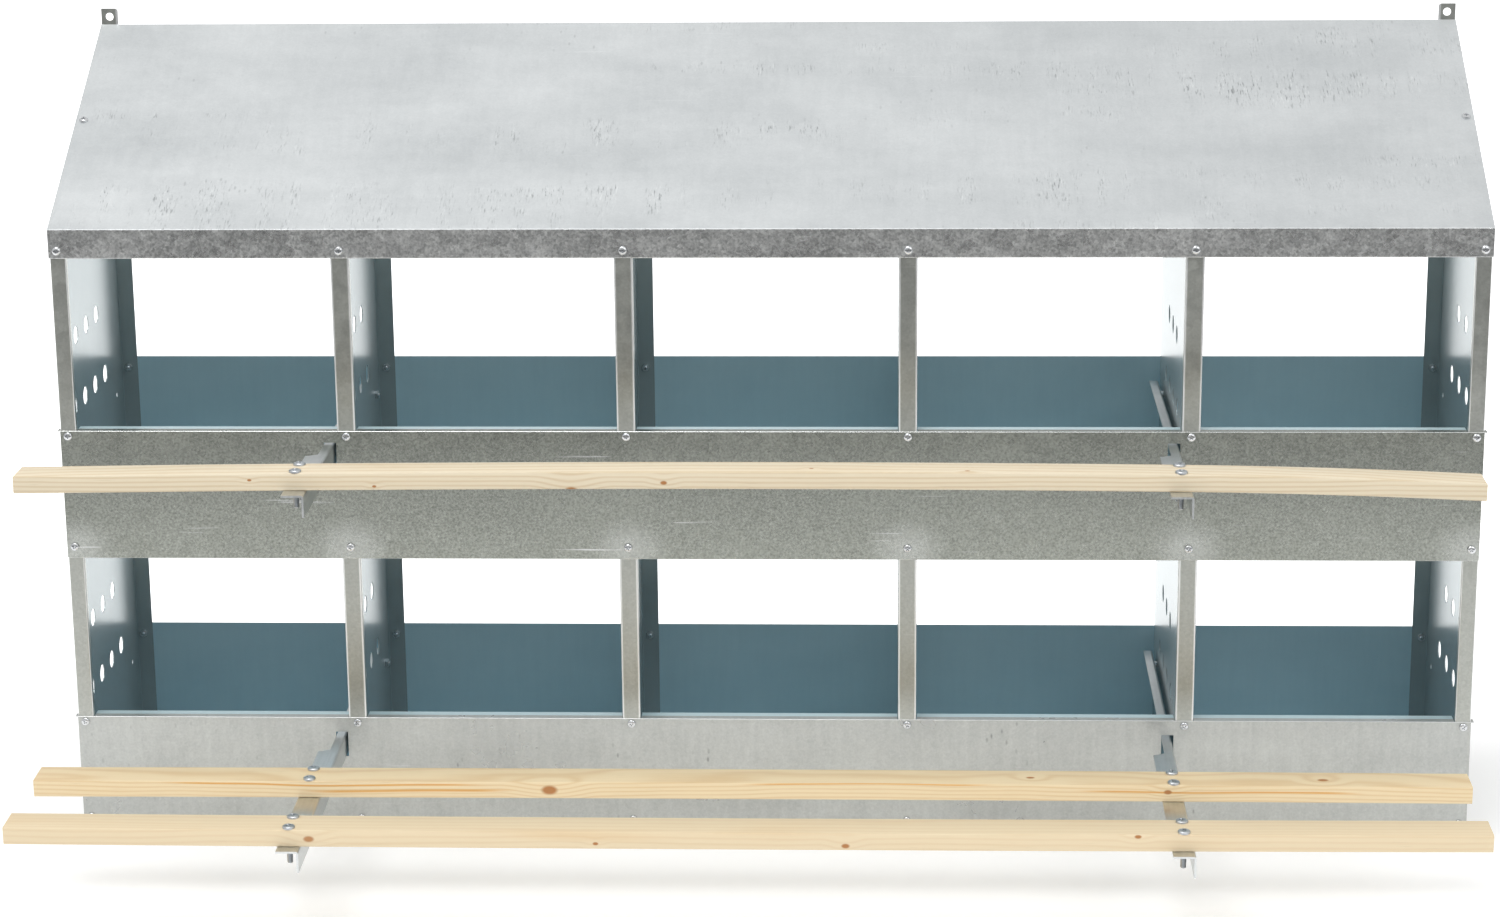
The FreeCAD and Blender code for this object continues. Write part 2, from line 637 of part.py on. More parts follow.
def perch(row, label, rear_edge):
    """A planed lath with eased edges, drilled for the bolts into both arms."""
    body = new_body(label)
    plan = new_sketch(body, "XY_Plane", label + "_plan", "tail_drop")
    rear = "-tail_hole_y - %s" % rear_edge
    box_outline(plan, "-perch_shift - perch_length / 2", rear + " - perch_depth",
                "-perch_shift + perch_length / 2", rear)
    pad(body, plan, "perch_height")
    half = number("perch_length") / 2
    round_edges(body, "perch_edge", lambda a, b: abs(a.x - b.x) > half,
                label + "_eased_edges")
    holes = new_sketch(body, "XY_Plane", label + "_bolt_holes",
                       "tail_drop + perch_height / 2")
    for side in ARM_DIVIDERS:
        for spot in bolt_spots(rear_edge):
            ring(holes, arm_face(side) + " + " + ARM_BOLT_X, spot, "bolt_radius + hole_play")
    pocket(body, holes, "perch_height + 4")
    hang(body, row)
    return body


for set_row in ROWS:
    for set_side in ARM_DIVIDERS:
        perch_arm(set_row, set_side)
    for perch_label, perch_rear in PERCHES[set_row].items():
        perch(set_row, perch_label, perch_rear)


# ---------------------------------------------------------------------------------------------
# Fasteners. Each pattern piece is built once about its own origin, head upwards, and a group
# node holds one copy of it for every place.
# ---------------------------------------------------------------------------------------------
def cross_headed(name, radius, head_radius, head_height, length):
    """A pan-headed screw with a cross recess; the head's underside is at z = 0."""
    body = new_body(name)
    side = new_sketch(body, "XZ_Plane", name + "_side")
    outline(side, [
        ("0", "-(%s)" % length), (radius + " - 0.5", "-(%s)" % length),
        (radius, "-(%s) + 0.5" % length), (radius, "0"), (head_radius, "0"),
        (head_radius, head_height + " * 0.45"), (head_radius + " * 0.82", head_height + " * 0.85"),
        (head_radius + " * 0.5", head_height), ("0", head_height)])
    turned = body.newObject("PartDesign::Revolution", name + "_turned")
    turned.Profile = side
    turned.ReferenceAxis = (side, ["V_Axis"])
    turned.Angle = 360
    doc.recompute()
    cross = new_sketch(body, "XY_Plane", name + "_recess", head_height)
    arm, half = head_radius + " * 0.5", head_radius + " * 0.12"
    outline(cross, [
        (half, half), (arm, half), (arm, "-" + half), (half, "-" + half), (half, "-" + arm),
        ("-" + half, "-" + arm), ("-" + half, "-" + half), ("-" + arm, "-" + half),
        ("-" + arm, half), ("-" + half, half), ("-" + half, arm), (half, arm)])
    pocket(body, cross, head_height + " * 1.1")
    return body


def hex_nut(name, flats, height, bore):
    """A hexagon nut standing on z = 0."""
    blank = doc.addObject("Part::Prism", name + "_blank")
    blank.Polygon = 6
    bind(blank, Circumradius="%s / cos(30)" % flats, Height=height)
    hole = doc.addObject("Part::Cylinder", name + "_hole")
    bind(hole, Radius=bore, Height=height)
    nut = doc.addObject("Part::Cut", name)
    nut.Base = blank
    nut.Tool = hole
    return nut


PATTERN_SCREW = cross_headed("pattern_screw", "screw_radius", "screw_head_radius",
                             "screw_head_height", "screw_length")
PATTERN_TAIL_BOLT = cross_headed("pattern_tail_bolt", "tail_bolt_radius",
                                 "tail_bolt_head_radius", "screw_head_height",
                                 "tail_bolt_length")
PATTERN_BOLT = cross_headed("pattern_bolt", "bolt_radius", "bolt_head_radius",
                            "bolt_head_height", "bolt_length")
PATTERN_NUT = hex_nut("pattern_nut", "nut_flats / 2", "nut_height", "screw_radius + 0.05")
PATTERN_TAIL_NUT = hex_nut("pattern_tail_nut", "tail_nut_flats / 2", "tail_nut_height",
                           "tail_bolt_radius + 0.05")
PATTERN_BOLT_NUT = hex_nut("pattern_bolt_nut", "bolt_nut_flats / 2", "bolt_nut_height",
                           "bolt_radius + 0.05")
spacer_ring = doc.addObject("Part::Cylinder", "pattern_spacer_ring")
bind(spacer_ring, Radius="arm_spacer_radius", Height="arm_spacer")
spacer_hole = doc.addObject("Part::Cylinder", "pattern_spacer_hole")
bind(spacer_hole, Radius="tail_bolt_radius + hole_play", Height="arm_spacer")
PATTERN_SPACER = doc.addObject("Part::Cut", "pattern_spacer")
PATTERN_SPACER.Base = spacer_ring
PATTERN_SPACER.Tool = spacer_hole
doc.recompute()

UP = FreeCAD.Vector(0, 0, 1)
FORWARD = FreeCAD.Vector(0, -1, 0)
BACKWARD = FreeCAD.Vector(0, 1, 0)
RIGHT = FreeCAD.Vector(1, 0, 0)
LEFT = FreeCAD.Vector(-1, 0, 0)


def fastener_group(label, pattern, spots, row=None):
    """Copies of a pattern piece: each spot is its x, y and z rules and where its top points."""
    copies = []
    for x, y, z, facing in spots:
        copy = pattern.Shape.copy()
        turn = FreeCAD.Rotation(UP, facing)
        spot = FreeCAD.Vector(number(x), number(y), number(z))
        copy.Placement = FreeCAD.Placement(spot, turn)
        copies.append(copy)
    node = doc.addObject("Part::Feature", label)
    node.Label = label
    node.Shape = Part.makeCompound(copies)
    if row:
        hang(node, row)
    else:
        place(node)
    return node


POSTS = range(int(number("nest_count")) + 1)
for row in ROWS:
    fronts = [(screw_x(post), "-sheet", rule, FORWARD)
              for post in POSTS for rule in PANEL_SCREWS[row]]
    front_nuts = [(x, "sheet", z, BACKWARD) for x, y, z, facing in fronts]
    backs = [(screw_x(post), "body_depth + sheet", rule, BACKWARD)
             for post in POSTS for rule in BACK_SCREWS[row]]
    back_nuts = [(x, "body_depth - sheet", z, FORWARD) for x, y, z, facing in backs]
    fastener_group(row + "_front_screws", PATTERN_SCREW, fronts)
    fastener_group(row + "_front_nuts", PATTERN_NUT, front_nuts)
    fastener_group(row + "_back_screws", PATTERN_SCREW, backs)
    fastener_group(row + "_back_nuts", PATTERN_NUT, back_nuts)

    bolts = []
    nuts = []
    for side in ARM_DIVIDERS:
        for rear_edge in PERCHES[row].values():
            for spot in bolt_spots(rear_edge):
                bolt_x = arm_face(side) + " + " + ARM_BOLT_X
                bolts.append((bolt_x, spot, "tail_drop + perch_height", UP))
                nuts.append((bolt_x, spot, "tail_drop - arm_sheet", -UP))
    fastener_group(row + "_perch_bolts", PATTERN_BOLT, bolts, row)
    fastener_group(row + "_perch_nuts", PATTERN_BOLT_NUT, nuts, row)

lip_screws = [(screw_x(post), "-2 * sheet", LIP_SCREW_HEIGHT, FORWARD) for post in POSTS]
fastener_group("roof_lip_screws", PATTERN_SCREW, lip_screws)
fastener_group("roof_lip_nuts", PATTERN_NUT,
               [(x, "sheet", z, BACKWARD) for x, y, z, facing in lip_screws])

slope_up = FreeCAD.Vector(0, -number(SLOPE), 1)
slope_spots = [(screw_x(post), "slope_screw_y", roof_under("slope_screw_y") + " + 1.14 * sheet"
                + " + gap", slope_up) for post in (POSTS[0], POSTS[-1])]
fastener_group("roof_slope_screws", PATTERN_SCREW, slope_spots)
fastener_group("roof_slope_nuts", PATTERN_NUT,
               [(x, y, roof_under("slope_screw_y") + " - 1.14 * sheet", -slope_up)
                for x, y, z, facing in slope_spots])

tail_spots = [(arm_face(side) + " - arm_sheet", "tail_hole_y",
               LEVELS[row] + " + tail_hole_z", LEFT)
              for row in ROWS for side in ARM_DIVIDERS]
fastener_group("arm_tail_bolts", PATTERN_TAIL_BOLT, tail_spots)
fastener_group("arm_spacers", PATTERN_SPACER,
               [(x + " + arm_sheet", y, z, RIGHT) for x, y, z, facing in tail_spots])
fastener_group("arm_tail_nuts", PATTERN_TAIL_NUT,
               [(x + " + arm_sheet + arm_spacer + sheet", y, z, RIGHT)
                for x, y, z, facing in tail_spots])

# ---------------------------------------------------------------------------------------------
# Check and write
# ---------------------------------------------------------------------------------------------
doc.recompute()
for item in doc.Objects:
    if "Invalid" in item.State or "Error" in item.State:
        raise RuntimeError("%s failed: %s" % (item.Name, item.State))

PATTERN_PREFIX = "pattern_"
nodes = [item for item in doc.Objects
         if item.TypeId in ("PartDesign::Body", "Part::Mirroring", "Part::Feature")
         and not item.Label.startswith(PATTERN_PREFIX)]
os.makedirs("parts", exist_ok=True)
for node in nodes:
    if node.Shape.isNull() or not node.Shape.isValid():
        raise RuntimeError("%s has no valid shape" % node.Label)
for node in nodes:
    node.Shape.exportStep(os.path.join("parts", node.Label + ".step"))
print("%d nodes written" % len(nodes))
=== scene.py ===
"""Looks of a ten-hole laying nest: sheet finishes, timber perches, fasteners, studio and camera.

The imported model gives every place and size. The folded sheets keep their own shapes and get
finishes here; the laths, screws, bolts and nuts are modelled again with the detail of real ones.
Lengths are metres and angles are degrees unless a name says otherwise.
"""

import logging
import math
import random
from collections.abc import Callable
from dataclasses import dataclass
from enum import Enum
from typing import Any

import bpy
from mathutils import Matrix, Vector


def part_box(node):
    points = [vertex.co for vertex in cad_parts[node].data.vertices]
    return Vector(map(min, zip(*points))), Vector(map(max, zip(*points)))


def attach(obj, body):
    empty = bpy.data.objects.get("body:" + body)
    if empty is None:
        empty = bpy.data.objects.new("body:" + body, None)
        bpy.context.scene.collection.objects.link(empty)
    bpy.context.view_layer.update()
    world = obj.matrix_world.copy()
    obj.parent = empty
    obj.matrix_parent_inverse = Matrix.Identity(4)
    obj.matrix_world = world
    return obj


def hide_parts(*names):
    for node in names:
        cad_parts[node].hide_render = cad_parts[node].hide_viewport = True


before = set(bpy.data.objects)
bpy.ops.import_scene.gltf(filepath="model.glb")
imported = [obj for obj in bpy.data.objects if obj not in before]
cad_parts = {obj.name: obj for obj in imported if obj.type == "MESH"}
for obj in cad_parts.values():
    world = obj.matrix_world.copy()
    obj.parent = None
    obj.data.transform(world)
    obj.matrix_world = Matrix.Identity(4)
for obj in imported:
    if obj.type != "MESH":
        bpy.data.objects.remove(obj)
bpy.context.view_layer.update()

logging.basicConfig(level=logging.INFO, format="%(message)s")
log = logging.getLogger("laying_nest")

Colour = tuple[float, float, float]
Seat = tuple[Vector, Vector, Vector]
Socket = bpy.types.NodeSocket
Piece = bpy.types.Object
Material = bpy.types.Material
MM = 0.001
NESTS = 5
SCREW_INSET = 8 * MM
FRONT_BAND = 8 * MM
LIP_HEIGHT = 30 * MM
# Near-white colour of the painted highlight on sheet folds.
BEND_HIGHLIGHT: Colour = (0.93, 0.94, 0.94)
GLINT: Colour = (0.93, 0.95, 0.94)
SCRATCH: Colour = (0.86, 0.87, 0.88)
RESIN_FLUSH: Colour = (0.62, 0.35, 0.11)
RESIN_VEIN: Colour = (0.66, 0.33, 0.07)
KNOT_CORE: Colour = (0.42, 0.18, 0.055)


class Slot(Enum):
    """Material slots."""

    SHEET = "galvanised_sheet"
    ZINC = "zinc_plated"
    PINE = "pine"


class Row(Enum):
    """The two rows of nests."""

    LOWER = "lower"
    UPPER = "upper"


# ---- Shader maths ----
def columns() -> tuple[float, float]:
    """Find the columns of screws.

    Returns:
        The place of the leftmost column, and the step to the next.
    """
    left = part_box("left_side_wall")[0].x + SCREW_INSET
    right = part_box("right_side_wall")[1].x - SCREW_INSET
    return left, (right - left) / NESTS


def operator(operation: str, swapped: bool = False) -> Callable[..., "Value"]:
    """Make a method of Value that adds a Math node.

    Args:
        operation: The node's operation.
        swapped: Whether the other value comes before self.

    Returns:
        The method.
    """
    def method(self: "Value", *others: Any) -> "Value":
        """Work out the operation on self and the other values."""
        return self.maths(operation, *((*others, self) if swapped else (self, *others)))
    return method


class Value:
    """A shader socket that takes part in Python expressions."""

    def __init__(self, graph: "NodeTree", socket: Socket) -> None:
        """Wrap a socket.

        Args:
            graph: The node tree that the socket belongs to.
            socket: The output socket.
        """
        self.graph = graph
        self.socket = socket

    def maths(self, operation: str, *values: Any, clamp: bool = False) -> "Value":
        """Add a Math node that takes the values in order."""
        made = self.graph.node("ShaderNodeMath", {"operation": operation, "use_clamp": clamp},
                               dict(enumerate(values)))
        return Value(self.graph, made.outputs[0])

    __add__ = operator("ADD")
    __radd__ = operator("ADD", swapped=True)
    __sub__ = operator("SUBTRACT")
    __rsub__ = operator("SUBTRACT", swapped=True)
    __mul__ = operator("MULTIPLY")
    __rmul__ = operator("MULTIPLY", swapped=True)
    __truediv__ = operator("DIVIDE")
    __rtruediv__ = operator("DIVIDE", swapped=True)
    __pow__ = operator("POWER")
    __abs__ = operator("ABSOLUTE")
    above = operator("GREATER_THAN")
    below = operator("LESS_THAN")
    larger = operator("MAXIMUM")
    wrapped = operator("FLOORED_MODULO")
    sine = operator("SINE")
    root = operator("SQRT")

    def clamped(self) -> "Value":
        """Self held between zero and one."""
        return self.maths("ADD", self, 0.0, clamp=True)

    def rise(self, low: float, high: float) -> "Value":
        """Zero at low, one at high, smooth between; low may be the larger.

        Args:
            low: Where the result is zero.
            high: Where the result is one.

        Returns:
            The smooth step.
        """
        made = self.graph.node("ShaderNodeMapRange", {"interpolation_type": "SMOOTHSTEP"},
                               {"Value": self, "From Min": low, "From Max": high})
        return Value(self.graph, made.outputs[0])


class NodeTree:
    """A node tree that is filled one node at a time."""

    def __init__(self, tree: bpy.types.NodeTree) -> None:
        """Take a tree and empty it.

        Args:
            tree: The tree of a material or a world.
        """
        self.tree = tree
        tree.nodes.clear()

    def node(self, kind: str, settings: dict[str, Any] | None = None,
             inputs: dict[Any, Any] | None = None) -> bpy.types.Node:
        """Add a node.

        Args:
            kind: The node's type.
            settings: Attributes of the node; "stops" holds a ramp's places and colours.
            inputs: Values or links of the node's sockets, by name or number.

        Returns:
            The new node.
        """
        made = self.tree.nodes.new(kind)
        for name, setting in (settings or {}).items():
            if name == "stops":
                self._stops(made.color_ramp, setting)
            else:
                setattr(made, name, setting)
        for name, given in (inputs or {}).items():
            self.feed(made.inputs[name], given)
        return made

    @staticmethod
    def _stops(ramp: bpy.types.ColorRamp, stops: list[tuple[float, Colour]]) -> None:
        """Set a ramp's stops.

        Args:
            ramp: The ramp.
            stops: The place and the colour of each stop.
        """
        while len(ramp.elements) < len(stops):
            ramp.elements.new(0.5)
        for element, (spot, colour) in zip(ramp.elements, stops):
            element.position = spot
            element.color = (*colour, 1.0)

    def feed(self, socket: Socket, given: Any) -> None:
        """Link a socket, or set its value.

        Args:
            socket: The input socket.
            given: A Value, a socket, a number, a colour or a vector.
        """
        if isinstance(given, Value):
            self.tree.links.new(given.socket, socket)
        elif isinstance(given, Socket):
            self.tree.links.new(given, socket)
        elif socket.type == "RGBA" and len(given) == 3:
            socket.default_value = (*given, 1.0)
        else:
            socket.default_value = given

    def split(self, vector: Socket) -> tuple[Value, Value, Value]:
        """The three parts of a vector."""
        made = self.node("ShaderNodeSeparateXYZ", {}, {0: vector})
        return tuple(Value(self, part) for part in made.outputs)


class Graph(NodeTree):
    """The node graph of one material, with a Principled shader on its output."""

    def __init__(self, name: str) -> None:
        """Start a material.

        Args:
            name: Name of the new material.
        """
        self.material = bpy.data.materials.new(name)
        self.material.use_nodes = True
        super().__init__(self.material.node_tree)
        self.shader = self.node("ShaderNodeBsdfPrincipled")
        self.node("ShaderNodeOutputMaterial", {}, {"Surface": self.shader.outputs["BSDF"]})
        self.place = self.node("ShaderNodeTexCoord").outputs["Object"]

    def join(self, x: Any, y: Any, z: Any) -> Socket:
        """A vector from three parts."""
        return self.node("ShaderNodeCombineXYZ", {}, {0: x, 1: y, 2: z}).outputs[0]

    def stretch(self, vector: Socket, scale: Colour,
                turn: Colour = (0.0, 0.0, 0.0)) -> Socket:
        """Turn a vector and scale it along each axis.

        Args:
            vector: The vector.
            scale: Its three scales.
            turn: Its three turns in degrees.

        Returns:
            The stretched vector.
        """
        turned = tuple(math.radians(angle) for angle in turn)
        made = self.node("ShaderNodeMapping", {},
                         {"Vector": vector, "Rotation": turned, "Scale": scale})
        return made.outputs[0]

    def noise(self, vector: Socket, scale: float, detail: float = 3.0,
              roughness: float = 0.55, distortion: float = 0.0) -> Value:
        """Cloudy noise between zero and one."""
        made = self.node("ShaderNodeTexNoise", {},
                         {"Vector": vector, "Scale": scale, "Detail": detail,
                          "Roughness": roughness, "Distortion": distortion})
        return Value(self, made.outputs[0])

    def cells(self, vector: Socket, scale: float,
              randomness: float = 1.0) -> tuple[Value, Value]:
        """Crystal cells.

        Args:
            vector: Where the cells are looked up.
            scale: Cells in a metre.
            randomness: How far the cells leave a plain grid.

        Returns:
            The distance to the nearest cell's middle, and a random number for that cell.
        """
        made = self.node("ShaderNodeTexVoronoi", {},
                         {"Vector": vector, "Scale": scale, "Randomness": randomness})
        red = self.node("ShaderNodeSeparateColor", {}, {0: made.outputs["Color"]})
        return Value(self, made.outputs["Distance"]), Value(self, red.outputs[0])

    def blend(self, factor: Any, low: Any, high: Any, mode: str = "MIX") -> Socket:
        """Mix two colours.

        Args:
            factor: How much of the second colour.
            low: First colour.
            high: Second colour.
            mode: How they mix.

        Returns:
            The mixed colour.
        """
        made = self.node("ShaderNodeMix", {"data_type": "RGBA", "blend_type": mode},
                         {0: factor, 6: low, 7: high})
        return made.outputs[2]

    def bump(self, height: Value, distance: float, strength: float = 1.0) -> None:
        """Give the surface a relief.

        Args:
            height: The relief, between zero and one.
            distance: Depth of the relief in metres.
            strength: Share of the relief that shows.
        """
        made = self.node("ShaderNodeBump", {},
                         {"Strength": strength, "Distance": distance, "Height": height})
        self.feed(self.shader.inputs["Normal"], made.outputs[0])

    def surface(self, **inputs: Any) -> None:
        """Set the shader's sockets; underscores in a name stand for spaces."""
        for name, given in inputs.items():
            self.feed(self.shader.inputs[name.replace("_", " ")], given)


# ---- Finishes ----
@dataclass(frozen=True)
class SheetFinish:
    """Hot-dip galvanised sheet with a fine spangle, stains, specks, handling marks, painted
    highlights and painted shade.
    """

    name: str
    light: Colour = (0.62, 0.63, 0.63)
    dark: Colour = (0.36, 0.37, 0.37)
    # Colours for inward faces: a painted shade, darker and bluish, for the shade and cool light
    # inside the nests.
    shaded_inner_light: Colour = (0.70, 0.84, 0.86)
    shaded_inner_dark: Colour = (0.50, 0.66, 0.71)
    # Colours for the lip's upright faces: painted light, a tone of their own for how light falls
    # on the front face, over the sheet's spangle.
    lip_light: Colour = (0.97, 0.98, 0.97)
    lip_dark: Colour = (0.48, 0.49, 0.485)
    metallic: float = 0.85
    inner_metallic: float = 0.3
    roughness: float = 0.32
    inner_roughness: float = 0.34
    lip_roughness: float = 0.3
    grain: float = 0.5
    crystals: float = 0.5
    blotches: float = 0.7
    streaks: float = 0.25
    bands: float = 0.0
    specks: float = 0.5
    scratches: float = 0.5
    # Strength of the painted highlight on sheet folds.
    bend_highlight: float = 0.8
    # Strength and height of a painted highlight round each screw column, standing in for a
    # reflection off the sheet dimpled round the screws.
    dimple_highlight: float = 0.0
    dimple_highlight_height: float = 0.0
    # Strength of a painted highlight along the rims of the posts' front flanges.
    edges: float = 0.0
    seed: float = 0.0

    @staticmethod
    def beside(x: Value) -> Value:
        """Measure across the width from the nearest column of screws.

        Args:
            x: A place along the width.

        Returns:
            How far right of the column the place is.
        """
        left, step = columns()
        return (x - left + step / 2).wrapped(step) - step / 2

    def inside(self, graph: Graph) -> Value:
        """Where a face looks into the nests.

        Args:
            graph: The material's graph.

        Returns:
            One on faces that look inward, zero on faces that look out.
        """
        geometry = graph.node("ShaderNodeNewGeometry")
        lifted = graph.node("ShaderNodeVectorMath", {"operation": "SCALE"},
                            {0: geometry.outputs["Normal"], "Scale": 4 * MM})
        probe = graph.node("ShaderNodeVectorMath", {"operation": "ADD"},
                           {0: lifted.outputs[0], 1: graph.place})
        x, y, z = graph.split(probe.outputs[0])
        wall_low, wall_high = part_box("left_side_wall")
        roof_low, roof_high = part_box("roof_panel")
        front = wall_low.y + FRONT_BAND
        slope = (roof_high.z - roof_low.z - LIP_HEIGHT) / (roof_high.y - roof_low.y)
        eave = roof_low.z + LIP_HEIGHT
        under = z.below((y - roof_low.y) * slope + (eave - 0.5 * MM))
        return (abs(x).below(-wall_low.x) * y.above(front) * y.below(wall_high.y)) * under

    def material(self) -> Material:
        """Build the material.

        Returns:
            The finished material.
        """
        graph = Graph(self.name)
        shifted = graph.node("ShaderNodeVectorMath", {"operation": "ADD"},
                             {0: graph.place, 1: (self.seed, self.seed * 0.7, self.seed * 1.3)})
        place = shifted.outputs[0]
        _, crystal = graph.cells(place, 330.0)
        _, coarse = graph.cells(place, 110.0)
        grain = graph.noise(place, 430.0, 2.0, 0.6)
        blotch = graph.noise(graph.stretch(place, (1.0, 1.9, 1.9)), 5.5, 5.0, 0.62)
        rolled = graph.noise(graph.stretch(place, (2.0, 60.0, 60.0)), 1.0, 2.0)
        runs = graph.noise(graph.stretch(place, (1.0, 0.12, 0.12)), 130.0, 2.0, 0.6)
        tone = (0.5 + (grain - 0.5) * self.grain + (crystal - 0.5) * (self.crystals * 0.4)
                + (coarse - 0.5) * (self.crystals * 0.2) + (blotch - 0.5) * self.blotches
                + (runs - 0.5) * self.streaks + (rolled - 0.5) * 0.12)
        colour = graph.blend(tone.clamped(), self.dark, self.light)
        colour = self.marks(graph, place, colour)

        geometry = graph.node("ShaderNodeNewGeometry")
        nx, ny, nz = (abs(part) for part in graph.split(geometry.outputs["Normal"]))
        inside = self.inside(graph)
        # Painted shade: inward faces take a separate darker, bluish tint standing in for the
        # shade and cool light inside the nests; the blotches and runs on it are the sheet's own
        # marks.
        inner_tone = 0.5 + (blotch - 0.5) * 0.8 + (runs - 0.5) * 0.25 + (grain - 0.5) * 0.1
        inner_shade = graph.blend(inner_tone.clamped(), self.shaded_inner_dark, self.shaded_inner_light)
        uneven = ((coarse - 0.5) * 0.07 + (blotch - 0.5) * 0.14) * (1.0 - inside * 0.9)
        rough = self.roughness + uneven + inside * (self.inner_roughness - self.roughness)
        metal = self.metallic + inside * (self.inner_metallic - self.metallic)
        if self.bands:
            # Painted light: the lip's upright faces take their own tone and a stronger spangle
            # contrast, standing in for how light falls on the roof's front face; the spangle
            # pattern itself is the sheet's.
            lip = ny.above(0.9) * (1.0 - inside)
            spangle = (0.45 + (crystal - 0.5) * 0.6 + (grain - 0.5) * 1.6
                       + (blotch - 0.5) * 0.6).clamped()
            colour = graph.blend(lip, colour, graph.blend(spangle, self.lip_dark,
                                                          self.lip_light))
            rough = rough + lip * (self.lip_roughness - self.roughness)
            metal = metal + lip * (0.95 - self.metallic)
        else:
            # Painted highlight: where the normal turns at a fold, the colour is blended towards
            # near-white, the way a real fold catches a reflection.
            fold_highlight = (1.0 - nx.larger(ny).larger(nz)).rise(0.03, 0.2) * self.bend_highlight
            if self.edges:
                # Painted highlight along the rims of the posts' front flanges.
                rim = abs(self.beside(graph.split(graph.place)[0])).rise(7.0 * MM, 8.2 * MM)
                fold_highlight = fold_highlight.larger(rim * ny.above(0.9) * self.edges)
            colour = graph.blend(fold_highlight, colour, BEND_HIGHLIGHT)
        colour = graph.blend(inside, colour, inner_shade)
        graph.surface(Base_Color=colour, Metallic=metal.clamped(), Roughness=rough.clamped())
        height = (grain * 0.45 + blotch * 0.9) * (1.0 - inside * 0.96)
        graph.bump(height, 0.25 * MM, 0.3)
        return graph.material

    def marks(self, graph: Graph, place: Socket,
              colour: Socket) -> Socket:
        """Lay specks, rolling bands with painted glints, scratches and painted highlights round
        the screws over a colour.

        Args:
            graph: The material's graph.
            place: The shifted coordinates.
            colour: The colour under the marks.

        Returns:
            The marked colour.
        """
        dim = tuple(part * 0.62 for part in self.dark)
        speck_gap, speck_pick = graph.cells(graph.stretch(place, (1.0, 0.45, 0.45)), 190.0)
        patches = graph.noise(place, 9.0, 3.0).rise(0.48, 0.66)
        specks = (speck_gap.rise(0.34, 0.10) * speck_pick.above(0.80) * patches
                  * self.specks).clamped()
        colour = graph.blend(specks, colour, dim)
        if self.bands:
            band = graph.noise(graph.stretch(place, (1.6, 17.0, 17.0)), 1.0, 3.0).rise(0.50, 0.68)
            ticks = graph.noise(graph.stretch(place, (560.0, 95.0, 95.0)), 1.0, 2.0, 0.6)
            soft = graph.noise(graph.stretch(place, (45.0, 9.0, 9.0)), 1.0, 2.0)
            mask = (ticks.rise(0.54, 0.72) * soft.rise(0.42, 0.62) * band * self.bands).clamped()
            colour = graph.blend(mask, colour, dim)
            glints = (ticks.rise(0.42, 0.30) * soft.rise(0.42, 0.62) * band * 0.3).clamped()
            colour = graph.blend(glints, colour, GLINT)
        hair = graph.noise(graph.stretch(place, (9.0, 260.0, 260.0), (0.0, 38.0, 12.0)), 1.0, 1.0)
        where = graph.noise(place, 4.5, 2.0).rise(0.50, 0.66)
        scratches = (hair.rise(0.715, 0.75) * where * self.scratches).clamped()
        colour = graph.blend(scratches, colour, SCRATCH)
        # Painted highlight: a bright round patch round each screw column, standing in for a
        # reflection off the dimpled sheet.
        if self.dimple_highlight:
            x, _, z = graph.split(graph.place)
            along = self.beside(x)
            up = (z - self.dimple_highlight_height) * 1.25
            far = (along * along + up * up).root()
            shine = (far.rise(48 * MM, 3 * MM) * self.dimple_highlight).clamped()
            colour = graph.blend(shine, colour, GLINT)
        return colour


@dataclass(frozen=True)
class ZincFinish:
    """Bright electroplated zinc on screws, bolts, nuts and folded arms."""

    name: str
    colour: Colour = (0.78, 0.80, 0.82)
    dull: Colour = (0.52, 0.55, 0.58)
    roughness: float = 0.24
    brushing: float = 0.3

    def material(self) -> Material:
        """Build the material.

        Returns:
            The finished material.
        """
        graph = Graph(self.name)
        cloud = graph.noise(graph.place, 70.0, 4.0, 0.6)
        fine = graph.noise(graph.place, 900.0, 2.0)
        lines = graph.noise(graph.stretch(graph.place, (420.0, 9.0, 420.0)), 1.0, 2.0)
        tone = 0.55 + (cloud - 0.5) * 0.8 + (fine - 0.5) * 0.3 + (lines - 0.5) * self.brushing
        colour = graph.blend(tone.clamped(), self.dull, self.colour)
        rough = self.roughness + (cloud - 0.5) * 0.2 + (lines - 0.5) * 0.08
        graph.surface(Base_Color=colour, Metallic=1.0, Roughness=rough.clamped())
        graph.bump(fine * 0.3 + lines * 0.4, 0.12 * MM, 0.3)
        return graph.material


@dataclass(frozen=True)
class Knot:
    """A knot in a lath: where it is along the lath and across it, and its size."""

    x: float
    across: float
    radius: float = 5.0 * MM
    depth: float = 1.0


@dataclass(frozen=True)
class Vein:
    """A resin vein along a lath: its ends, its place across the lath, and its width."""

    start: float
    end: float
    across: float
    width: float = 0.8 * MM


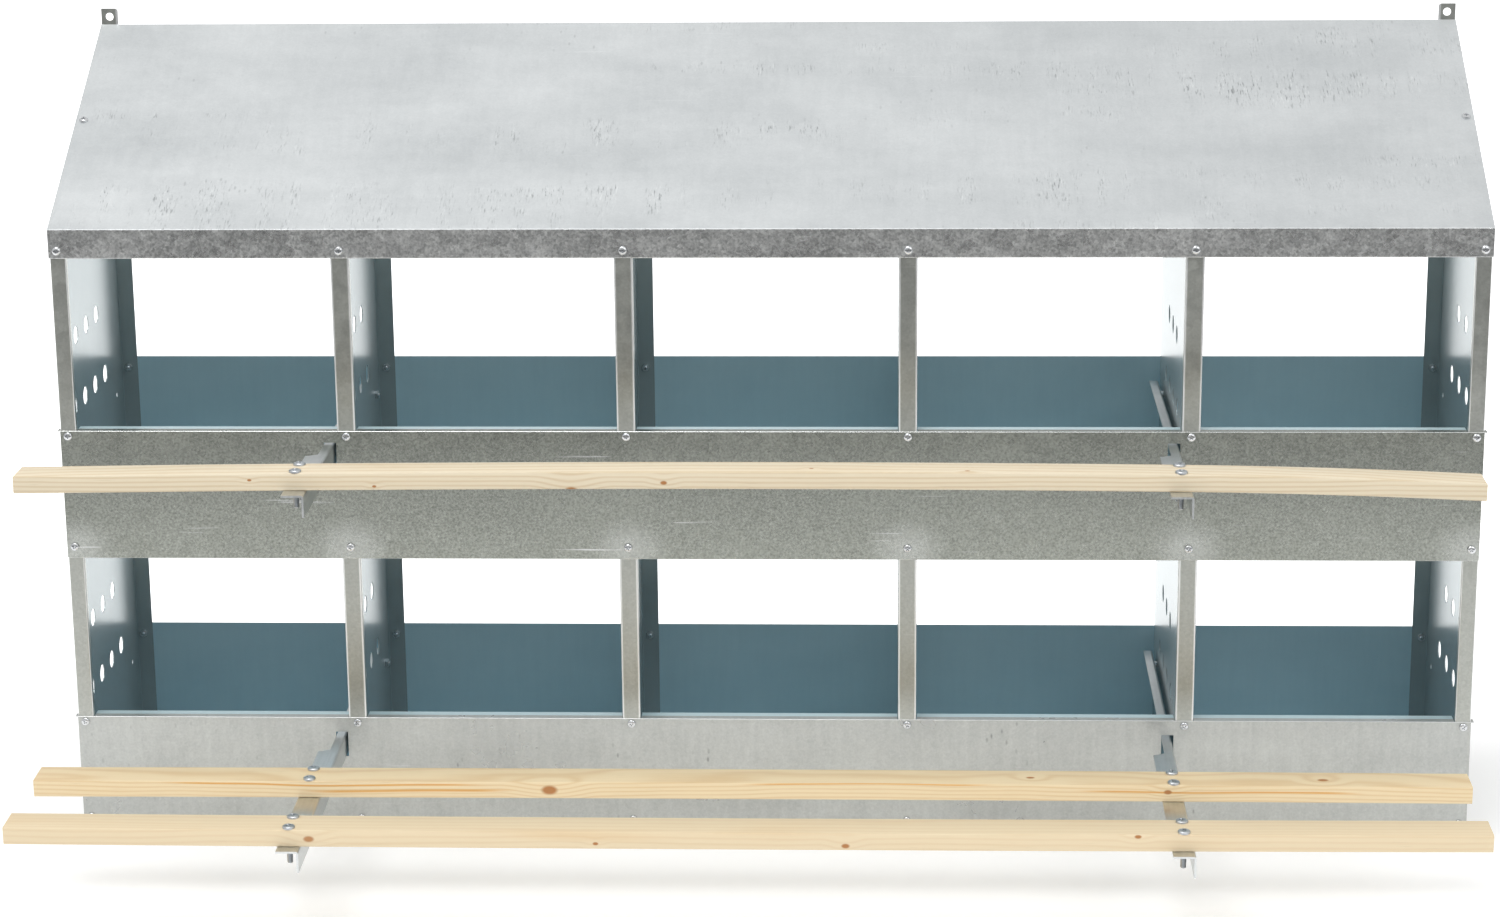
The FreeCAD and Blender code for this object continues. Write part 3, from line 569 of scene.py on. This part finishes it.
@dataclass(frozen=True)
class PineFinish:
    """Planed pine with growth rings, knots and resin streaks."""

    name: str
    early: Colour = (0.76, 0.665, 0.50)
    late: Colour = (0.61, 0.455, 0.265)
    heart: tuple[float, float] = (0.05, -0.03)
    resin: float = 0.3
    knots: tuple[Knot, ...] = ()
    veins: tuple[Vein, ...] = ()
    seed: float = 0.0

    def material(self) -> Material:
        """Build the material.

        Returns:
            The finished material.
        """
        graph = Graph(self.name)
        x, y, z = graph.split(graph.place)
        drift = graph.noise(graph.join(x * 1.4 + self.seed, y * 5.0, z * 5.0), 1.0, 3.0)
        wobble = graph.noise(graph.join(x * 7.0 + self.seed, y * 30.0, z * 30.0), 1.0, 3.0)
        across = y - self.heart[0] + (drift - 0.5) * 0.05
        upward = z - self.heart[1] + (drift - 0.5) * 0.035
        core: Value | None = None
        swell: Value | None = None
        for knot in self.knots:
            reach = (((x - knot.x) / 1.7) ** 2.0 + (y + z - knot.across) ** 2.0).root()
            disc = reach.rise(knot.radius * 1.15, knot.radius * 0.55) * knot.depth
            push = reach.rise(knot.radius * 6.0, knot.radius * 0.6) * (knot.radius * 1.2)
            core = disc if core is None else core + disc
            swell = push if swell is None else swell + push
        radius = (across * across + upward * upward).root()
        if swell is not None:
            radius = radius + swell
        rings = (radius * 1500.0 + (wobble - 0.5) * 5.0).sine() * 0.5 + 0.5
        rings = rings ** 2.4
        fibre = graph.noise(graph.stretch(graph.place, (9.0, 900.0, 900.0)), 1.0, 3.0, 0.6)
        pores = graph.noise(graph.stretch(graph.place, (30.0, 1800.0, 1800.0)), 1.0, 1.0)
        tone = rings * 0.55 + (fibre - 0.5) * 0.35 + (wobble - 0.5) * 0.3
        colour = graph.blend(tone.clamped(), self.early, self.late)
        flush = graph.noise(graph.join(x * 2.1 + self.seed * 3.0, y * 22.0, z * 22.0), 1.0, 2.0)
        colour = graph.blend(flush.rise(0.56, 0.74) * self.resin, colour, RESIN_FLUSH)
        for vein in self.veins:
            off = abs(y + z - vein.across + (drift - 0.5) * 0.03)
            ends = x.rise(vein.start, vein.start + 0.05) * x.rise(vein.end, vein.end - 0.05)
            line = off.rise(vein.width * 1.7, vein.width * 0.5) * ends * 0.85
            colour = graph.blend(line, colour, RESIN_VEIN)
        if core is not None:
            colour = graph.blend(core.clamped(), colour, KNOT_CORE)
        specks = pores.rise(0.68, 0.78) * 0.35
        colour = graph.blend(specks, colour, tuple(part * 0.7 for part in self.late))
        rough = 0.58 + (fibre - 0.5) * 0.2 - rings * 0.08
        graph.surface(Base_Color=colour, Roughness=rough.clamped())
        graph.bump(rings * 0.35 + fibre * 0.5 + pores * 0.2, 0.25 * MM, 0.5)
        return graph.material


@dataclass(frozen=True)
class FloorFinish:
    """White studio floor that fades to grey far in front of the object."""

    name: str = "studio_floor"
    white: float = 0.92
    grey: float = 0.10
    fade_start: float = -0.95
    fade_end: float = -1.75
    near_glow: float = 0.22
    glow_start: float = 0.25
    glow_end: float = 0.7
    glow: float = 0.7

    def material(self) -> Material:
        """Build the material.

        Returns:
            The finished material.
        """
        graph = Graph(self.name)
        _, y, _ = graph.split(graph.place)
        near = y.rise(self.fade_end, self.fade_start)
        colour = graph.blend(near, (self.grey,) * 3, (self.white,) * 3)
        behind = y.rise(self.glow_start, self.glow_end) * self.glow
        glow = graph.blend(near * self.near_glow + behind, (0.0, 0.0, 0.0), (1.0, 1.0, 1.0))
        graph.surface(Base_Color=colour, Roughness=0.9, Emission_Color=glow,
                      Emission_Strength=1.0)
        return graph.material


# ---- Modelling ----
class Bench:
    """Modelling steps that several pieces share."""

    @staticmethod
    def clear() -> None:
        """Deselect every object."""
        bpy.ops.object.select_all(action="DESELECT")

    @staticmethod
    def only(piece: Piece) -> None:
        """Select one object and make it active.

        Args:
            piece: The object.
        """
        Bench.clear()
        piece.select_set(True)
        bpy.context.view_layer.objects.active = piece

    @staticmethod
    def edit() -> None:
        """Open the active mesh in edit mode with all of it selected."""
        bpy.ops.object.mode_set(mode="EDIT")
        bpy.ops.mesh.select_all(action="SELECT")

    @staticmethod
    def settle() -> None:
        """Move the selected objects' place, turn and size into their meshes."""
        bpy.ops.object.transform_apply(location=True, rotation=True, scale=True)

    @staticmethod
    def extrude(*step: float) -> None:
        """Extrude what is selected by a step."""
        bpy.ops.mesh.extrude_region_move(TRANSFORM_OT_translate={"value": step})

    @staticmethod
    def cylinder(sides: int, radius: float, height: float, middle: Vector,
                 lean: float = 0.0) -> Piece:
        """Add a cylinder.

        Args:
            sides: How many sides it has.
            radius: Its radius.
            height: Its height.
            middle: Its middle.
            lean: Its turn about the width in degrees.

        Returns:
            The cylinder.
        """
        Bench.clear()
        bpy.ops.mesh.primitive_cylinder_add(vertices=sides, radius=radius, depth=height,
                                            location=middle,
                                            rotation=(math.radians(lean), 0.0, 0.0))
        Bench.settle()
        return bpy.context.object

    @staticmethod
    def select_faces(test: Callable[[bpy.types.MeshPolygon], bool]) -> None:
        """In edit mode, select the faces that pass a test.

        Args:
            test: Takes a face of the active mesh and says whether it is wanted.
        """
        bpy.ops.mesh.select_all(action="DESELECT")
        bpy.ops.object.mode_set(mode="OBJECT")
        for face in bpy.context.object.data.polygons:
            if test(face):
                face.select = True
        bpy.ops.object.mode_set(mode="EDIT")

    @staticmethod
    def select_edges(test: Callable[[Vector, Vector], bool]) -> None:
        """In edit mode, select the edges whose two ends pass a test.

        Args:
            test: Takes the two end points and says whether the edge is wanted.
        """
        bpy.ops.mesh.select_all(action="DESELECT")
        bpy.ops.object.mode_set(mode="OBJECT")
        mesh = bpy.context.object.data
        for edge in mesh.edges:
            if test(*(mesh.vertices[end].co for end in edge.vertices)):
                edge.select = True
        bpy.ops.object.mode_set(mode="EDIT")
        bpy.ops.mesh.select_mode(type="EDGE")

    @staticmethod
    def apply(piece: Piece, kind: str, **settings: Any) -> None:
        """Add a modifier with its settings and apply it.

        Args:
            piece: The object.
            kind: The modifier's type.
            **settings: Attributes of the modifier.
        """
        modifier = piece.modifiers.new(kind.lower(), kind)
        for name, setting in settings.items():
            setattr(modifier, name, setting)
        Bench.only(piece)
        bpy.ops.object.modifier_apply(modifier=modifier.name)

    @staticmethod
    def cut(piece: Piece, tool: Piece, operation: str) -> None:
        """Cut, join or intersect a piece with a tool, and drop the tool."""
        Bench.apply(piece, "BOOLEAN", object=tool, operation=operation, solver="EXACT")
        bpy.data.objects.remove(tool)

    @staticmethod
    def outward(piece: Piece) -> None:
        """Merge doubled points and turn every face outward.

        Args:
            piece: The object.
        """
        Bench.only(piece)
        Bench.edit()
        bpy.ops.mesh.remove_doubles(threshold=0.00001)
        bpy.ops.mesh.normals_make_consistent(inside=False)
        bpy.ops.object.mode_set(mode="OBJECT")

    @staticmethod
    def copies(pattern: Piece, spots: list[Matrix], name: str) -> Piece:
        """Copy a pattern to every spot and join the copies to one piece.

        Args:
            pattern: The object to copy, modelled about the origin.
            spots: Where each copy goes.
            name: Name of the joined piece.

        Returns:
            The joined piece, at the origin with its place in its mesh.
        """
        Bench.clear()
        made = []
        for spot in spots:
            copy = bpy.data.objects.new(name, pattern.data.copy())
            copy.data.transform(spot)
            bpy.context.scene.collection.objects.link(copy)
            copy.select_set(True)
            made.append(copy)
        bpy.context.view_layer.objects.active = made[0]
        bpy.ops.object.join()
        piece = bpy.context.object
        piece.name = name
        piece.data.name = name
        return piece

    @staticmethod
    def finish(piece: Piece, material: Material, slot: Slot,
               *nodes: str) -> None:
        """Dress a piece, let it ride, and hide the nodes that it stands for.

        Args:
            piece: The finished object.
            material: Its material.
            slot: Not used.
            *nodes: The nodes that it replaces.
        """
        piece.data.materials.clear()
        piece.data.materials.append(material)
        if nodes:
            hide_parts(*nodes)
        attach(piece, "root")
        log.info("piece %s: %d faces", piece.name, len(piece.data.polygons))


def dress(node: str, material: Material) -> None:
    """Give a carried-over node its material.

    Args:
        node: The node's name.
        material: The material for all its slots.
    """
    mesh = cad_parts[node].data
    if not mesh.materials:
        mesh.materials.append(material)
    for index in range(len(mesh.materials)):
        mesh.materials[index] = material


# ---- Sub-assemblies ----
@dataclass
class Housing:
    """Roof, side walls, dividers, panels and nest floors."""

    def build(self) -> None:
        """Dress the folded sheets."""
        roof = SheetFinish("roof_sheet", light=(0.70, 0.72, 0.725), dark=(0.45, 0.475, 0.485),
                           metallic=0.55, roughness=0.5, grain=0.3, crystals=0.2,
                           blotches=1.0, streaks=0.2, bands=1.0, specks=0.35, scratches=0.15)
        dress("roof_panel", roof.material())
        upper_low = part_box("upper_front_panel")[0].z
        # Darker than the lower panel's sheet: painted shade standing in for the darker
        # surroundings that this panel reflects.
        upper = SheetFinish("upper_front_sheet", light=(0.46, 0.48, 0.435),
                            dark=(0.225, 0.237, 0.212), metallic=0.92, roughness=0.27,
                            grain=1.9, crystals=0.1, blotches=0.4, streaks=0.1, specks=0.1,
                            scratches=0.8, dimple_highlight=0.24, dimple_highlight_height=upper_low + 12 * MM,
                            seed=3.1)
        dress("upper_front_panel", upper.material())
        lower = SheetFinish("lower_front_sheet", light=(0.60, 0.615, 0.59),
                            dark=(0.34, 0.35, 0.34), metallic=0.6, grain=0.5, crystals=0.3,
                            blotches=0.9, streaks=0.4, specks=0.9, scratches=0.15, seed=7.7)
        dress("lower_front_panel", lower.material())
        # Its inward faces take a darker painted shade.
        upright = SheetFinish("upright_sheet", light=(0.54, 0.555, 0.52),
                              dark=(0.33, 0.34, 0.315), shaded_inner_light=(0.47, 0.53, 0.535),
                              shaded_inner_dark=(0.34, 0.40, 0.415), grain=0.6, blotches=0.7,
                              specks=0.2, scratches=0.3, roughness=0.34, bend_highlight=1.0, edges=0.85,
                              inner_metallic=0.42, inner_roughness=0.25, seed=11.3)
        uprights = ["left_side_wall", "right_side_wall"]
        uprights += [f"divider_{number}" for number in range(1, NESTS)]
        shared = upright.material()
        for node in uprights:
            dress(node, shared)
        # Its inward faces take a bluish painted shade.
        back = SheetFinish("back_sheet", light=(0.66, 0.67, 0.68), dark=(0.44, 0.45, 0.46),
                           shaded_inner_light=(0.66, 0.86, 0.93), shaded_inner_dark=(0.47, 0.67, 0.76),
                           grain=0.3, blotches=0.5, specks=0.1, scratches=0.2, bend_highlight=0.2,
                           seed=17.9)
        shared = back.material()
        for row in Row:
            dress(f"{row.value}_back_panel", shared)
            for number in range(1, NESTS + 1):
                dress(f"nest_floor_{row.value}_{number}", shared)


@dataclass(frozen=True)
class Hardware:
    """One kind of fastener: its pattern object and its material."""

    kind: str
    pattern: Piece
    material: Material


@dataclass
class Fasteners:
    """Screws, bolts and nuts, each modelled once and copied to its places."""

    screw_radius: float = 2.0 * MM
    head_radius: float = 4.4 * MM
    head_height: float = 3.0 * MM
    screw_length: float = 8.0 * MM
    nut_flats: float = 7.0 * MM
    nut_height: float = 3.2 * MM
    bolt_radius: float = 2.9 * MM
    bolt_head_radius: float = 6.1 * MM
    bolt_head_height: float = 3.0 * MM
    bolt_length: float = 36.0 * MM
    bolt_nut_flats: float = 10.0 * MM
    bolt_nut_height: float = 4.8 * MM
    screw_thread: float = 6.0 * MM
    bolt_thread: float = 20.0 * MM
    bore_share: float = 0.98
    seed: int = 41

    def screw(self, name: str, radius: float, head_radius: float, head_height: float,
              length: float, thread: float) -> Piece:
        """Model a pan-headed machine screw standing head up, the head's underside at zero.

        Args:
            name: Name of the pattern.
            radius: Radius of the shank.
            head_radius: Radius of the head.
            head_height: Height of the head.
            length: Length under the head.
            thread: Length of the threaded end.

        Returns:
            The pattern object.
        """
        Bench.clear()
        bpy.ops.mesh.primitive_circle_add(vertices=28, radius=head_radius, fill_type="NGON",
                                          location=(0.0, 0.0, 0.0))
        head = bpy.context.object
        head.name = name
        Bench.edit()
        steps = ((0.45, 1.0), (0.24, 0.93), (0.15, 0.80), (0.10, 0.62), (0.06, 0.36))
        width = 1.0
        for climb, share in steps:
            Bench.extrude(0.0, 0.0, climb * head_height)
            factor = share / width
            bpy.ops.transform.resize(value=(factor, factor, 1.0))
            width = share
        bpy.ops.object.mode_set(mode="OBJECT")
        Bench.outward(head)
        self.recess(head, head_radius, head_height)

        Bench.clear()
        bpy.ops.mesh.primitive_circle_add(vertices=20, radius=radius, fill_type="NGON",
                                          location=(0.0, 0.0, 0.3 * head_height))
        shank = bpy.context.object
        Bench.edit()
        plain = length - thread
        Bench.extrude(0.0, 0.0, -plain - 0.3 * head_height)
        pitch = 0.8 * MM
        turns = int((thread - 0.3 * MM) / pitch)
        for _ in range(turns):
            for factor in (0.86, 1 / 0.86):
                Bench.extrude(0.0, 0.0, -pitch / 2)
                bpy.ops.transform.resize(value=(factor, factor, 1.0))
        rest = thread - turns * pitch
        Bench.extrude(0.0, 0.0, -rest)
        bpy.ops.transform.resize(value=(0.8, 0.8, 1.0))
        bpy.ops.object.mode_set(mode="OBJECT")
        Bench.outward(shank)
        Bench.cut(head, shank, "UNION")
        Bench.only(head)
        bpy.ops.object.shade_smooth_by_angle(angle=math.radians(32.0))
        return head

    @staticmethod
    def recess(head: Piece, radius: float, height: float) -> None:
        """Cut a tapered cross recess into a head.

        Args:
            head: The head, its underside at zero.
            radius: Its radius.
            height: Its height.
        """
        for turn in (0.0, 90.0):
            Bench.clear()
            bpy.ops.mesh.primitive_cube_add(size=1.0, location=(0.0, 0.0, height))
            blade = bpy.context.object
            Bench.edit()
            bpy.ops.transform.resize(value=(radius * 1.25, radius * 0.3, height * 1.4))
            Bench.select_faces(lambda face: face.normal.z < -0.5)
            bpy.ops.transform.resize(value=(0.45, 0.7, 1.0))
            bpy.ops.object.mode_set(mode="OBJECT")
            blade.rotation_euler.z = math.radians(turn)
            Bench.settle()
            Bench.cut(head, blade, "DIFFERENCE")

    @staticmethod
    def nut(name: str, flats: float, height: float, bore: float) -> Piece:
        """Model a hexagon nut with chamfered corners standing on zero.

        Args:
            name: Name of the pattern.
            flats: Size across the flats.
            height: Height of the nut.
            bore: Radius of its hole.

        Returns:
            The pattern object.
        """
        corner = flats / math.sqrt(3.0)
        middle = Vector((0.0, 0.0, height / 2))
        body = Bench.cylinder(6, corner, height, middle)
        body.name = name
        rounding = Bench.cylinder(36, corner * 1.005, height, middle)
        bpy.ops.object.mode_set(mode="EDIT")
        Bench.select_edges(lambda a, b: abs(a.z - b.z) < 1e-6)
        bpy.ops.mesh.bevel(offset=corner * 0.15, offset_type="WIDTH", segments=1)
        bpy.ops.object.mode_set(mode="OBJECT")
        Bench.cut(body, rounding, "INTERSECT")
        Bench.cut(body, Bench.cylinder(24, bore, height * 1.5, middle), "DIFFERENCE")
        Bench.only(body)
        bpy.ops.object.shade_smooth_by_angle(angle=math.radians(25.0))
        return body

    @staticmethod
    def post_places() -> list[float]:
        """The places of the posts' screws, from left to right."""
        left, step = columns()
        return [left + number * step for number in range(NESTS + 1)]

    @staticmethod
    def pose(spot: Vector, facing: Vector, spin: float) -> Matrix:
        """A place for a fastener whose head points along facing."""
        turn = facing.to_track_quat("Z", "Y").to_matrix().to_4x4()
        return Matrix.Translation(spot) @ turn @ Matrix.Rotation(spin, 4, "Z")

    def panel_seats(self, group: str, facing: Vector, rows: int) -> list[Seat]:
        """Where the screws of a panel or of the roof's lip sit.

        Args:
            group: The group's name, without its kind of fastener.
            facing: The way the heads face.
            rows: How many rows of screws there are.

        Returns:
            For each screw the points under its head and under its nut, and the way it faces.
        """
        low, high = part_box(f"{group}_screws")
        nuts_low, nuts_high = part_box(f"{group}_nuts")
        heights = [high.z - self.head_radius, low.z + self.head_radius][:rows]
        if facing.y < 0.0:
            seat, nut_seat = low.y + self.head_height, nuts_low.y
        else:
            seat, nut_seat = high.y - self.head_height, nuts_high.y
        return [(Vector((x, seat, z)), Vector((x, nut_seat, z)), facing)
                for x in self.post_places() for z in heights]

    def fit(self, group: str, pair: tuple[Hardware, Hardware], seats: list[Seat],
            draw: random.Random) -> None:
        """Copy a screw or bolt and its nut to every seat, each turned at random.

        Args:
            group: The group's name, without its kind of fastener.
            pair: The screw or bolt, and the nut.
            seats: Where they sit.
            draw: Gives the turns.
        """
        places: tuple[list[Matrix], list[Matrix]] = ([], [])
        for top, bottom, facing in seats:
            places[0].append(self.pose(top, facing, draw.uniform(0.0, math.pi)))
            places[1].append(self.pose(bottom, -facing, draw.uniform(0.0, math.pi)))
        for item, spots in zip(pair, places):
            piece = Bench.copies(item.pattern, spots, f"{group}_{item.kind}_set")
            Bench.finish(piece, item.material, Slot.ZINC, f"{group}_{item.kind}s")

    def build(self, perches: "Perches") -> None:
        """Model the patterns, copy them to their places and dress them.

        Args:
            perches: The laths that the bolts hold.
        """
        draw = random.Random(self.seed)
        plated = ZincFinish("plated_screws", colour=(0.84, 0.85, 0.86),
                            dull=(0.45, 0.47, 0.49), roughness=0.2).material()
        worn = ZincFinish("plated_nuts", colour=(0.70, 0.72, 0.74), roughness=0.3).material()
        screw = self.screw("screw_pattern", self.screw_radius, self.head_radius,
                           self.head_height, self.screw_length, self.screw_thread)
        nut = self.nut("nut_pattern", self.nut_flats, self.nut_height,
                       self.screw_radius * self.bore_share)
        bolt = self.screw("bolt_pattern", self.bolt_radius, self.bolt_head_radius,
                          self.bolt_head_height, self.bolt_length, self.bolt_thread)
        bolt_nut = self.nut("bolt_nut_pattern", self.bolt_nut_flats, self.bolt_nut_height,
                            self.bolt_radius * self.bore_share)
        pair = (Hardware("screw", screw, plated), Hardware("nut", nut, worn))
        forward, backward = Vector((0.0, -1.0, 0.0)), Vector((0.0, 1.0, 0.0))
        groups = [("roof_lip", forward, 1)]
        for row in Row:
            groups.append((f"{row.value}_front", forward, 2))
            groups.append((f"{row.value}_back", backward, 2))
        for group, facing, rows in groups:
            self.fit(group, pair, self.panel_seats(group, facing, rows), draw)
        dull = ZincFinish("bolt_zinc", colour=(0.66, 0.68, 0.70), dull=(0.42, 0.44, 0.46),
                          roughness=0.36).material()
        pair = (Hardware("bolt", bolt, dull), Hardware("nut", bolt_nut, worn))
        for row in Row:
            seats = [seat for lath in perches.laths if lath.row is row
                     for seat in perches.seats(lath)]
            self.fit(f"{row.value}_perch", pair, seats, draw)
        for pattern in (screw, nut, bolt, bolt_nut):
            bpy.data.objects.remove(pattern)
        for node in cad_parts:
            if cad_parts[node].hide_render:
                continue
            if node.endswith(("_screws", "_bolts")):
                dress(node, plated)
            elif node.endswith(("_nuts", "_spacers")):
                dress(node, worn)


@dataclass(frozen=True)
class Lath:
    """One lath: its node and row, its lean in degrees, its bow, finish and right end's droop."""

    node: str
    row: Row
    lean: float
    bow: float
    finish: PineFinish
    droop: float = 0.0


@dataclass
class Perches:
    """Folded arms and the pine laths that they carry."""

    depth: float = 38.0 * MM
    height: float = 17.5 * MM
    arm_sheet: float = 2.0 * MM
    edge: float = 1.3 * MM
    bolt_inset: float = 5.8 * MM
    bolt_head: float = 6.1 * MM
    hole: float = 3.1 * MM
    overhang: float = 300.0 * MM
    steps: int = 24
    laths: tuple[Lath, ...] = (
        Lath("upper_perch", Row.UPPER, 0.0, 2.2 * MM,
             PineFinish("upper_lath", resin=0.12, seed=1.7,
                        knots=(Knot(-0.184, 0.260, 4.2 * MM), Knot(-0.376, 0.264, 1.4 * MM),
                               Knot(-0.094, 0.268, 2.2 * MM), Knot(0.049, 0.292, 1.6 * MM),
                               Knot(0.200, 0.286, 1.7 * MM), Knot(-0.498, 0.270, 1.4 * MM))),
             droop=5.0 * MM),
        Lath("lower_rear_perch", Row.LOWER, 1.35, 0.4 * MM,
             PineFinish("rear_lath", early=(0.78, 0.635, 0.41), late=(0.65, 0.45, 0.23),
                        veins=(Vein(-0.61, -0.27, -0.041), Vein(-0.47, -0.24, -0.047, 1.1 * MM),
                               Vein(-0.03, 0.24, -0.043), Vein(0.30, 0.60, -0.048)),
                        heart=(-0.17, 0.03), resin=0.6, seed=5.3,
                        knots=(Knot(-0.213, -0.047, 5.2 * MM), Knot(0.265, -0.020, 2.8 * MM),
                               Knot(0.554, -0.022, 3.6 * MM), Knot(0.400, -0.046, 2.6 * MM)))),
        Lath("lower_front_perch", Row.LOWER, 1.35, -0.5 * MM,
             PineFinish("front_lath", early=(0.76, 0.63, 0.43), late=(0.70, 0.54, 0.34),
                        heart=(-0.22, 0.05), resin=0.3, seed=9.1,
                        knots=(Knot(-0.434, -0.177, 3.4 * MM, 0.9), Knot(0.362, -0.170, 2.2 * MM),
                               Knot(0.083, -0.181, 2.6 * MM), Knot(-0.157, -0.180, 1.8 * MM)))),
    )

    def arms(self, row: Row) -> tuple[float, float]:
        """Where the bolts of the left and the right arm of a row stand along the width."""
        low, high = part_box(f"{row.value}_perch_bolts")
        return low.x + self.bolt_head, high.x - self.bolt_head

    def seats(self, lath: Lath) -> list[Seat]:
        """Where a lath's bolts sit.

        Args:
            lath: The lath.

        Returns:
            For each bolt the point under its head, the point its nut bears on, and the
            direction its head faces.
        """
        low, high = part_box(lath.node)
        middle = (low + high) / 2
        lean = math.radians(lath.lean)
        across = Vector((0.0, math.cos(lean), math.sin(lean)))
        facing = Vector((0.0, -math.sin(lean), math.cos(lean)))
        found = []
        for x in self.arms(lath.row):
            for side in (-1.0, 1.0):
                axis = Vector((x, middle.y, middle.z))
                axis += across * (side * (self.depth / 2 - self.bolt_inset))
                found.append((axis + facing * (self.height / 2),
                              axis - facing * (self.height / 2 + self.arm_sheet), facing))
        return found

    def lift(self, lath: Lath, x: float) -> float:
        """How far a bowed lath stands above a straight one; nothing at the arms.

        Args:
            lath: The lath.
            x: A place along it.

        Returns:
            The height there.
        """
        left, right = self.arms(lath.row)
        share = (x - (left + right) / 2) / ((right - left) / 2)
        beyond = max(0.0, x - right) / self.overhang
        return lath.bow * (1.0 - share * share) - lath.droop * beyond * beyond

    def model(self, lath: Lath) -> Piece:
        """Model a lath: a bowed bar with eased edges and drilled bolt holes.

        Args:
            lath: The lath.

        Returns:
            The lath, in its place.
        """
        low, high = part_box(lath.node)
        Bench.clear()
        bpy.ops.mesh.primitive_plane_add(size=1.0, location=(0.0, 0.0, 0.0),
                                         rotation=(0.0, math.radians(90.0), 0.0))
        piece = bpy.context.object
        piece.name = f"{lath.node}_lath"
        Bench.settle()
        Bench.edit()
        bpy.ops.transform.resize(value=(1.0, self.depth, self.height))
        bpy.ops.transform.translate(value=(low.x, 0.0, self.lift(lath, low.x)))
        pace = (high.x - low.x) / self.steps
        for step in range(self.steps):
            x = low.x + step * pace
            climb = self.lift(lath, x + pace) - self.lift(lath, x)
            Bench.extrude(pace, 0.0, climb)
        Bench.select_edges(lambda a, b: abs(a.x - b.x) > MM)
        bpy.ops.mesh.bevel(offset=self.edge, offset_type="OFFSET", segments=3, profile=0.5)
        bpy.ops.object.mode_set(mode="OBJECT")
        middle = (low + high) / 2
        piece.location = (0.0, middle.y, middle.z)
        piece.rotation_euler.x = math.radians(lath.lean)
        Bench.only(piece)
        Bench.settle()
        Bench.outward(piece)
        for top, bottom, _ in self.seats(lath):
            drill = Bench.cylinder(20, self.hole, self.height * 2.2, (top + bottom) / 2,
                                   lath.lean)
            Bench.cut(piece, drill, "DIFFERENCE")
        Bench.only(piece)
        bpy.ops.object.shade_smooth_by_angle(angle=math.radians(35.0))
        return piece

    def build(self) -> None:
        """Dress the arms and model the laths."""
        arm = ZincFinish("arm_zinc", colour=(0.76, 0.78, 0.78), dull=(0.52, 0.545, 0.55),
                         roughness=0.33, brushing=0.6).material()
        for row in Row:
            for side in ("left", "right"):
                dress(f"{row.value}_{side}_perch_arm", arm)
        for lath in self.laths:
            Bench.finish(self.model(lath), lath.finish.material(), Slot.PINE, lath.node)


@dataclass
class Studio:
    """Floor, lights, world and camera."""

    eye: Colour = (0.12348, -3.42296, 1.3458)
    yaw: float = 2.351
    pitch: float = -15.154
    roll: float = -0.544
    lens: float = 83.74
    floor_size: float = 60.0

    def camera(self) -> None:
        """Stand the camera in front of the nest, looking slightly down."""
        yaw, pitch, roll = (math.radians(a) for a in (self.yaw, self.pitch, self.roll))
        ahead = Vector((-math.sin(yaw) * math.cos(pitch), math.cos(yaw) * math.cos(pitch),
                        math.sin(pitch)))
        level = Vector((math.cos(yaw), math.sin(yaw), 0.0))
        over = level.cross(ahead)
        right = level * math.cos(roll) + over * math.sin(roll)
        up = over * math.cos(roll) - level * math.sin(roll)
        data = bpy.data.cameras.new("camera")
        data.sensor_width = 36.0
        data.lens = self.lens
        data.clip_start, data.clip_end = 0.05, 200.0
        camera = bpy.data.objects.new("camera", data)
        turn = Matrix((right, up, -ahead)).transposed().to_4x4()
        camera.matrix_world = Matrix.Translation(self.eye) @ turn
        bpy.context.scene.collection.objects.link(camera)
        bpy.context.scene.camera = camera

    def floor(self) -> None:
        """Lay the studio floor."""
        Bench.clear()
        bpy.ops.mesh.primitive_plane_add(size=self.floor_size, location=(0.0, 0.0, -0.0005))
        floor = bpy.context.object
        floor.name = "studio_floor"
        Bench.settle()
        floor.data.materials.append(FloorFinish().material())

    def lamp(self, name: str, spot: Colour, aim: Colour, size: tuple[float, float],
             power: float, colour: Colour = (1.0, 1.0, 1.0)) -> None:
        """Hang a soft rectangular lamp.

        Args:
            name: Name of the lamp.
            spot: Where it hangs.
            aim: The point that it faces.
            size: Its two sides.
            power: Watts.
            colour: Its colour.
        """
        data = bpy.data.lights.new(name, "AREA")
        data.shape = "RECTANGLE"
        data.size, data.size_y = size
        data.energy = power
        data.color = colour
        lamp = bpy.data.objects.new(name, data)
        lamp.location = spot
        lamp.rotation_mode = "QUATERNION"
        lamp.rotation_quaternion = (Vector(aim) - Vector(spot)).to_track_quat("-Z", "Y")
        bpy.context.scene.collection.objects.link(lamp)

    def world(self) -> None:
        """Surround the scene with soft light, brightest overhead and at the sides."""
        world = bpy.data.worlds.new("studio")
        bpy.context.scene.world = world
        world.use_nodes = True
        tree = NodeTree(world.node_tree)
        x, _, z = tree.split(tree.node("ShaderNodeTexCoord").outputs["Generated"])
        stops = [(0.0, (0.48, 0.49, 0.50)), (0.4, (0.80, 0.81, 0.82)), (0.8, (0.97, 0.97, 0.97))]
        ramp = tree.node("ShaderNodeValToRGB", {"stops": stops}, {0: abs(x) * 0.4 + z})
        backdrop = tree.node("ShaderNodeBackground", {},
                             {"Color": ramp.outputs[0], "Strength": 0.85})
        tree.node("ShaderNodeOutputWorld", {}, {"Surface": backdrop.outputs[0]})

    def build(self) -> None:
        """Set up the studio."""
        self.camera()
        self.floor()
        self.world()
        self.lamp("key", (-0.8, -1.5, 3.6), (0.0, 0.0, 0.4), (2.4, 1.6), 60.0)
        self.lamp("fill", (2.2, -2.6, 2.4), (0.0, 0.0, 0.4), (2.0, 1.6), 18.0)
        settings = bpy.context.scene.view_settings
        settings.view_transform = "Standard"


def main() -> None:
    """Build the looks."""
    Studio().build()
    Housing().build()
    perches = Perches()
    perches.build()
    Fasteners().build(perches)


if __name__ == "__main__":
    main()
